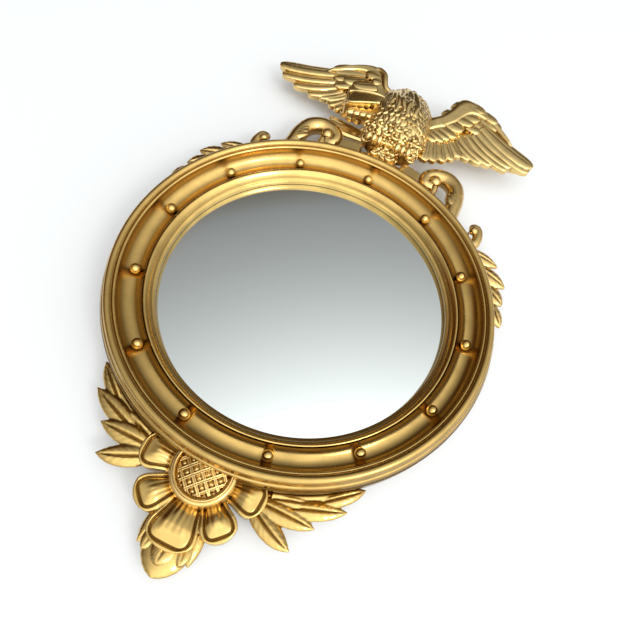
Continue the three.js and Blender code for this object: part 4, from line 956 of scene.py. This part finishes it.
CREST_LEAVES = [               # root x, root z, tip x, tip z, half width
    (136, 148, 182, 142, 9.5), (156, 130, 197, 118, 11), (171, 110, 200, 94, 11.5), (182, 93, 205, 66, 9),
]
SPRAY_LEAVES = [               # the same, with bend and lift
    (48, -206.5, 106, -206, 9.6, 0, 1.0), (46, -210, 94, -231, 9.4, 4, 0.4),
    (66, -203, 127, -181, 9.2, 2, 0.0), (98, -186, 135, -156, 7.4, 2, -0.6),
    (54, -200, 99, -187, 7.4, 1, -0.8),
]
LEAF_BASE_H = -11


def leaves(rows, side):
    return [
        blade((side * x0, z0, LEAF_BASE_H + lift - 1), (side * x1, z1, LEAF_BASE_H + lift), half, LEAF,
              bend=side * bend, crown=3.6, back=3, vein=2.4, ribs=0.3, arch=3.4, tilt=1.1, across=26,
              rib_pitch=6.5)
        for x0, z0, x1, z1, half, bend, lift in rows
    ]


def stem(side, start, end, h):
    path = [(side * x, z, h) for x, z in (on_circle(RING_OUTER_R + 2, a) for a in np.linspace(start, end, 5))]
    return tube(path, lambda t: 4.4 - 1.2 * t, 24)


crest_rows = [(*row, 0, 0.5 * (i % 2)) for i, row in enumerate(CREST_LEAVES)]
for side_name, side in SIDES:
    crest = cut_by_ring([*leaves(crest_rows, side), stem(side, 47, 72, LEAF_BASE_H)])
    spray = cut_by_ring([*leaves(SPRAY_LEAVES, side), stem(side, 163, 144, LEAF_BASE_H - 1)])
    curled = cut_by_ring(volute(side))
    carved_piece(f"shoulder_volute_{side_name}", curled, carved_gold, [f"volute_{side_name}"])
    carved_piece(f"shoulder_leaves_{side_name}", crest, carved_gold, [f"crest_leaves_{side_name}"], 0.62)
    carved_piece(f"spray_{side_name}", spray, shaded_drop_gold, [f"leaf_spray_{side_name}"], 0.62)

# ---------------------------------------------------------------- flower and bud

PETALS = [                     # direction in degrees from the right, reach, half width at the tip
    (-3, 58.5, 17.5), (-46, 58.5, 17.2), (-90, 66, 24), (-134, 58.5, 17.2), (-177, 58.5, 17.5),
]
PETAL_ROOT = 24.0              # hidden under the boss
PETAL_BASE_H = -12.0
RIM_RISE = 2.4                 # of a petal's raised rim
RIM_WIDTH = 1.6
GROOVE_DEPTH = 1.9             # inside the rim
CUP_RISE = 3.0                 # of the petal's middle
FLUTE_DEPTH = 0.9


def petal(direction, reach, half):
    """A cupped petal with a raised rim along its edge and flutes that run out from the boss."""
    angle = math.radians(direction)
    out = np.array([math.cos(angle), math.sin(angle)])
    side = np.array([-out[1], out[0]])
    u = np.linspace(0, 1, 61)
    v = np.linspace(-1, 1, 61)
    along = PETAL_ROOT + (reach - PETAL_ROOT) * (1 - (1 - u) ** 1.3)
    share = (along - PETAL_ROOT) / (reach - PETAL_ROOT)
    spread = np.interp(share, [0, 0.3, 0.6, 0.85, 1], [0.58, 0.72, 0.9, 1, 0.98])
    corner = (1 - np.clip((share - 0.5) / 0.5, 0, 1) ** 3.2) ** (1 / 2.1)
    width = half * spread * np.maximum(corner, 0.02)
    bow = 2.2 * (1 - (v[None] * (width / half)[:, None]) ** 2)
    to_side = (1 - np.abs(v))[None] * width[:, None]
    to_end = (reach - along)[:, None]
    edge = -np.log(np.exp(-to_side / 1.2) + np.exp(-to_end / 1.2)) * 1.2 + 0.6    # mm from the outline
    edge = np.clip(edge, 0, None)
    rim = RIM_RISE * np.sqrt(np.clip(1 - (1 - np.clip(edge / RIM_WIDTH, 0, 1)) ** 2, 0, 1))
    groove = GROOVE_DEPTH * np.exp(-((edge - 4.6) ** 2))
    bead = 0.5 * np.exp(-(((edge - 3.0) / 0.5) ** 2))
    cup = CUP_RISE * np.clip((edge - 5) / 9, 0, 1)
    cup = cup * np.sin(math.pi * np.clip(share[:, None], 0, 1) ** 0.8) ** 0.8
    flute = FLUTE_DEPTH * (0.5 + 0.5 * np.cos(7 * math.pi * v))[None]
    flute = flute * np.clip(1 - share / 0.75, 0, 1)[:, None]
    fall = -5.5 * np.clip(1 - share / 0.55, 0, 1)[:, None] ** 1.2
    top_h = PETAL_BASE_H + 5.2 + rim - groove + bead + cup - flute * (edge > 5) + fall + 1.4 * share[:, None]
    position = out * (along[:, None] + bow * (share**4)[:, None])[..., None]
    position = position + side * (v * width[:, None])[..., None] + np.array(FLOWER)
    top = np.concatenate([position, top_h[..., None]], -1)
    behind = np.concatenate([position[:, ::-1], np.full((*top_h.shape, 1), PETAL_BASE_H - 6)], -1)
    return loft(np.concatenate([top, behind], 1))


hub = turned(eased([(0.05, -24), (30, -24), (30, -8.4), (0.05, -8.4)], 0.5), FLOWER, 96)
petals = cut_by_ring([hub, *(petal(*row) for row in PETALS)], FLOWER_EDGE_R)
carved_piece("petals", petals, shaded_drop_gold, ["flower_petals"])

BOSS_RING_PROFILE = [
    (23.6, -8), (23.6, 2.6), (24.2, 4.2), (25.2, 4.8), (26.1, 4.1), (26.6, 2.9), (27.4, 2.9), (28.6, 2.2),
    (29.8, 0.6), (30.7, -1.8), (31.0, -5), (31.0, -8),
]
boss_ring = cut_by_ring([turned(eased(BOSS_RING_PROFILE, 0.6, 3), FLOWER, 160)], FLOWER_EDGE_R)
turned_piece("seed_head_ring", boss_ring, carved_gold, ["boss_ring"])

LATTICE_PITCH = 8.3
DOME_R = 60.0
DOME_CROWN_H = 6.5
BAND_HALF = 1.75               # half width of a double band
BAND_RISE = 1.5
PIP_RISE = 0.85
PIT_DEPTH = 1.9                # of the lozenges between the bands


def seed_head():
    """A domed disc carved as a diagonal lattice of double bands, with a pip in each lozenge."""
    radii = np.concatenate([np.linspace(0.05, BOSS_R, 110), [BOSS_R]])
    angle = np.linspace(0, 2 * math.pi, 320, endpoint=False)
    r, a = np.meshgrid(radii, angle, indexing="ij")
    x, z = r * np.sin(a), r * np.cos(a)
    dome = DOME_CROWN_H - DOME_R + np.sqrt(DOME_R**2 - r**2)
    offsets = []
    for along in ((x + z) / math.sqrt(2) + 1.5, (x - z) / math.sqrt(2) - 1.0):
        turns = along / LATTICE_PITCH
        offsets.append((turns - np.round(turns)) * LATTICE_PITCH)
    bands = []
    for off in offsets:
        lines = np.exp(-(((np.abs(off) - 0.95) / 0.5) ** 2))
        plate = BAND_RISE / (1 + np.exp((np.abs(off) - BAND_HALF) / 0.18))
        bands.append(0.45 * lines + plate)
    lozenge = [LATTICE_PITCH / 2 - np.abs(off) for off in offsets]
    pip = PIP_RISE * np.exp(-((lozenge[0] / 1.3) ** 2 + (lozenge[1] / 1.3) ** 2) ** 1.5)
    h = dome - PIT_DEPTH + np.maximum(np.maximum(*bands), pip)
    h = np.where(r > BOSS_R - 1.2, dome - PIT_DEPTH, h)
    h[-1] = BOSS_SEAT_H
    return loft(np.stack([FLOWER[0] + x, FLOWER[1] + z, h], -1))


boss = cut_by_ring([seed_head()], FLOWER_EDGE_R)
turned_piece("seed_head", boss, carved_gold, ["flower_boss"], 80)


def bud():
    outer = blade((1, -252, -18), (1.5, -294, -13), 21.5, BUD, crown=6, back=4, arch=2.5, steps=44, across=30)
    inner = [
        blade((1, -256, -15), (0, -284, -8.5), 12.5, BUD, crown=4, back=4, vein=1.2, ribs=0.3, arch=1.0,
              across=26),
        blade((-9, -254, -16), (-16.5, -279, -10.5), 8, BUD, crown=3, back=4, vein=0.8, arch=1.0, bend=3),
        blade((11, -254, -16), (17, -278, -10.5), 8, BUD, crown=3, back=4, vein=0.8, arch=1.0, bend=-3),
    ]
    return [outer, *inner]


carved_piece("bud", bud(), shaded_drop_gold, ["drop_bud"])
for side_name, side in SIDES:
    leaf = blade((side * 19, -238, -15), (side * 24, -276, -15), 8.5, LEAF, bend=side * 6, crown=3.6, back=4,
                 vein=1.4, ribs=0.3, arch=1.5, across=26)
    carved_piece(f"bud_leaf_{side_name}_carving", [leaf], shaded_drop_gold, [f"bud_leaf_{side_name}"])

# ---------------------------------------------------------------- hidden pieces keep their CAD shape


def paint(material, *names):
    for name in names:
        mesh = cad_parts[name].data
        mesh.materials.clear()
        mesh.materials.append(material)


paint(hardboard, "backing_board", "spacer_ring")
paint(zinc, "crest_plate", "drop_plate", "hanger_ring", *(f"crest_screw_{i}" for i in range(1, 5)),
      *(f"drop_screw_{i}" for i in range(1, 3)))
paint(dull_brass, *(f"turn_button_{i}" for i in range(1, 5)), *(f"turn_screw_{i}" for i in range(1, 5)))
paint(grey_felt, "bumper_left", "bumper_right")

# ---------------------------------------------------------------- wall, light and camera

WALL_Y = 0.0012                # metres behind the plane that the mirror hangs on
WALL_HALF = 3.0
WALL_LIFT = 0.08               # what the camera and reflections see on top of the lit white wall


def wall_material():
    """White wall that keeps shadows, and doesn't show from behind, so that the mirror's back can be seen."""
    nodes = new_material("wall")
    nodes.set(Base_Color=(0.68, 0.68, 0.685), Roughness=0.9)
    path = nodes.add("ShaderNodeLightPath").outputs
    seen = nodes.math("ADD", path["Is Camera Ray"], path["Is Glossy Ray"])
    seen = nodes.math("ADD", seen, path["Is Transmission Ray"])
    lift = nodes.math("MULTIPLY", seen, WALL_LIFT)
    glow = nodes.add("ShaderNodeEmission", {"Color": (1, 1, 1), "Strength": lift})
    lit = nodes.add("ShaderNodeAddShader", {0: nodes.shader.outputs["BSDF"], 1: glow.outputs["Emission"]})
    mixed = nodes.add("ShaderNodeMixShader", {
        0: nodes.add("ShaderNodeNewGeometry").outputs["Backfacing"], 1: lit.outputs["Shader"],
        2: nodes.add("ShaderNodeBsdfTransparent").outputs["BSDF"],
    })
    nodes.put(nodes.tree.nodes["Material Output"].inputs["Surface"], mixed.outputs["Shader"])
    return nodes.owner


wall_mesh = bpy.data.meshes.new("wall")
corners = [(x * WALL_HALF, WALL_Y, z * WALL_HALF) for x, z in ((-1, -1), (1, -1), (1, 1), (-1, 1))]
wall_mesh.from_pydata(corners, [], [(0, 1, 2, 3)])
wall = bpy.data.objects.new("wall", wall_mesh)
wall_mesh.materials.append(wall_material())
bpy.context.scene.collection.objects.link(wall)


LIGHT_FROM = Vector((0.5, -0.7, -0.5)).normalized()
STUDIO = [                     # brightness of the studio by the cosine of the angle from its bright side
    (-1.0, 0.06), (-0.5, 0.07), (-0.28, 0.1), (-0.12, 0.22), (0.0, 0.4), (0.17, 0.56), (0.36, 0.82),
    (0.53, 1.18), (0.66, 1.6), (0.8, 2.1), (1.0, 2.4),
]
STUDIO_PEAK = 2.4
STUDIO_TINT = [                # its dim side is a warm room, its bright side is daylight
    (-0.26, (1.0, 0.68, 0.32)), (-0.02, (1.0, 1.0, 1.0)), (0.6, (1.0, 1.0, 1.0)), (0.9, (0.96, 0.98, 1.0)),
]
WARM_FROM = Vector((-0.85, -0.1, 0.3)).normalized()
WARM_TINT = [(0.7, (0.975, 1.0, 0.99)), (0.92, (1.0, 0.6, 0.28))]
KEY_FROM = Vector((0.62, -0.7, -0.33)).normalized()
KEY_DISTANCE = 2.4
KEY_SIZE = 0.6
KEY_WATTS = 13.0

lamp = bpy.data.lights.new("key", "AREA")
lamp.shape = "RECTANGLE"
lamp.size = lamp.size_y = KEY_SIZE
lamp.energy = KEY_WATTS
key = bpy.data.objects.new("key", lamp)
key.location = Vector(CENTRE) + KEY_DISTANCE * KEY_FROM
key.rotation_euler = (-KEY_FROM).to_track_quat("-Z", "Y").to_euler()
bpy.context.scene.collection.objects.link(key)

world = bpy.data.worlds.new("studio")
bpy.context.scene.world = world
nodes = Nodes(world)
direction = nodes.add("ShaderNodeTexCoord").outputs["Generated"]
along = nodes.spread(nodes.vector("DOT_PRODUCT", direction, LIGHT_FROM)["Value"], -1, 1, 0, 1)
curve = nodes.add("ShaderNodeFloatCurve", {"Value": along})
points = curve.mapping.curves[0].points
while len(points) < len(STUDIO):
    points.new(0.5, 0.5)
for point, (cosine, level) in zip(points, STUDIO):
    point.location = ((cosine + 1) / 2, level / STUDIO_PEAK)
curve.mapping.update()
warm = nodes.ramp(nodes.vector("DOT_PRODUCT", direction, WARM_FROM)["Value"], WARM_TINT)
room = nodes.ramp(along, [((cosine + 1) / 2, colour) for cosine, colour in STUDIO_TINT])
nodes.set(Color=nodes.vector("MULTIPLY", warm, room)["Vector"],
          Strength=nodes.math("MULTIPLY", curve.outputs["Value"], STUDIO_PEAK))

CAMERA_PLACE = (0.067244, -0.485165, -0.499172)
CAMERA_RIGHT = Vector((0.90141, -0.13486, 0.41143))
CAMERA_UP = Vector((-0.42591, -0.44711, 0.78657))
LENS = 28.4014

camera_data = bpy.data.cameras.new("camera")
camera_data.lens = LENS
camera_data.sensor_width = 36
camera_data.clip_start = 0.01
camera = bpy.data.objects.new("camera", camera_data)
back_axis = CAMERA_RIGHT.cross(CAMERA_UP)
turn = Matrix([CAMERA_RIGHT, CAMERA_UP, back_axis]).transposed()
camera.matrix_world = Matrix.Translation(CAMERA_PLACE) @ turn.to_4x4()
bpy.context.scene.collection.objects.link(camera)
bpy.context.scene.camera = camera

bpy.context.scene.view_settings.view_transform = "Standard"
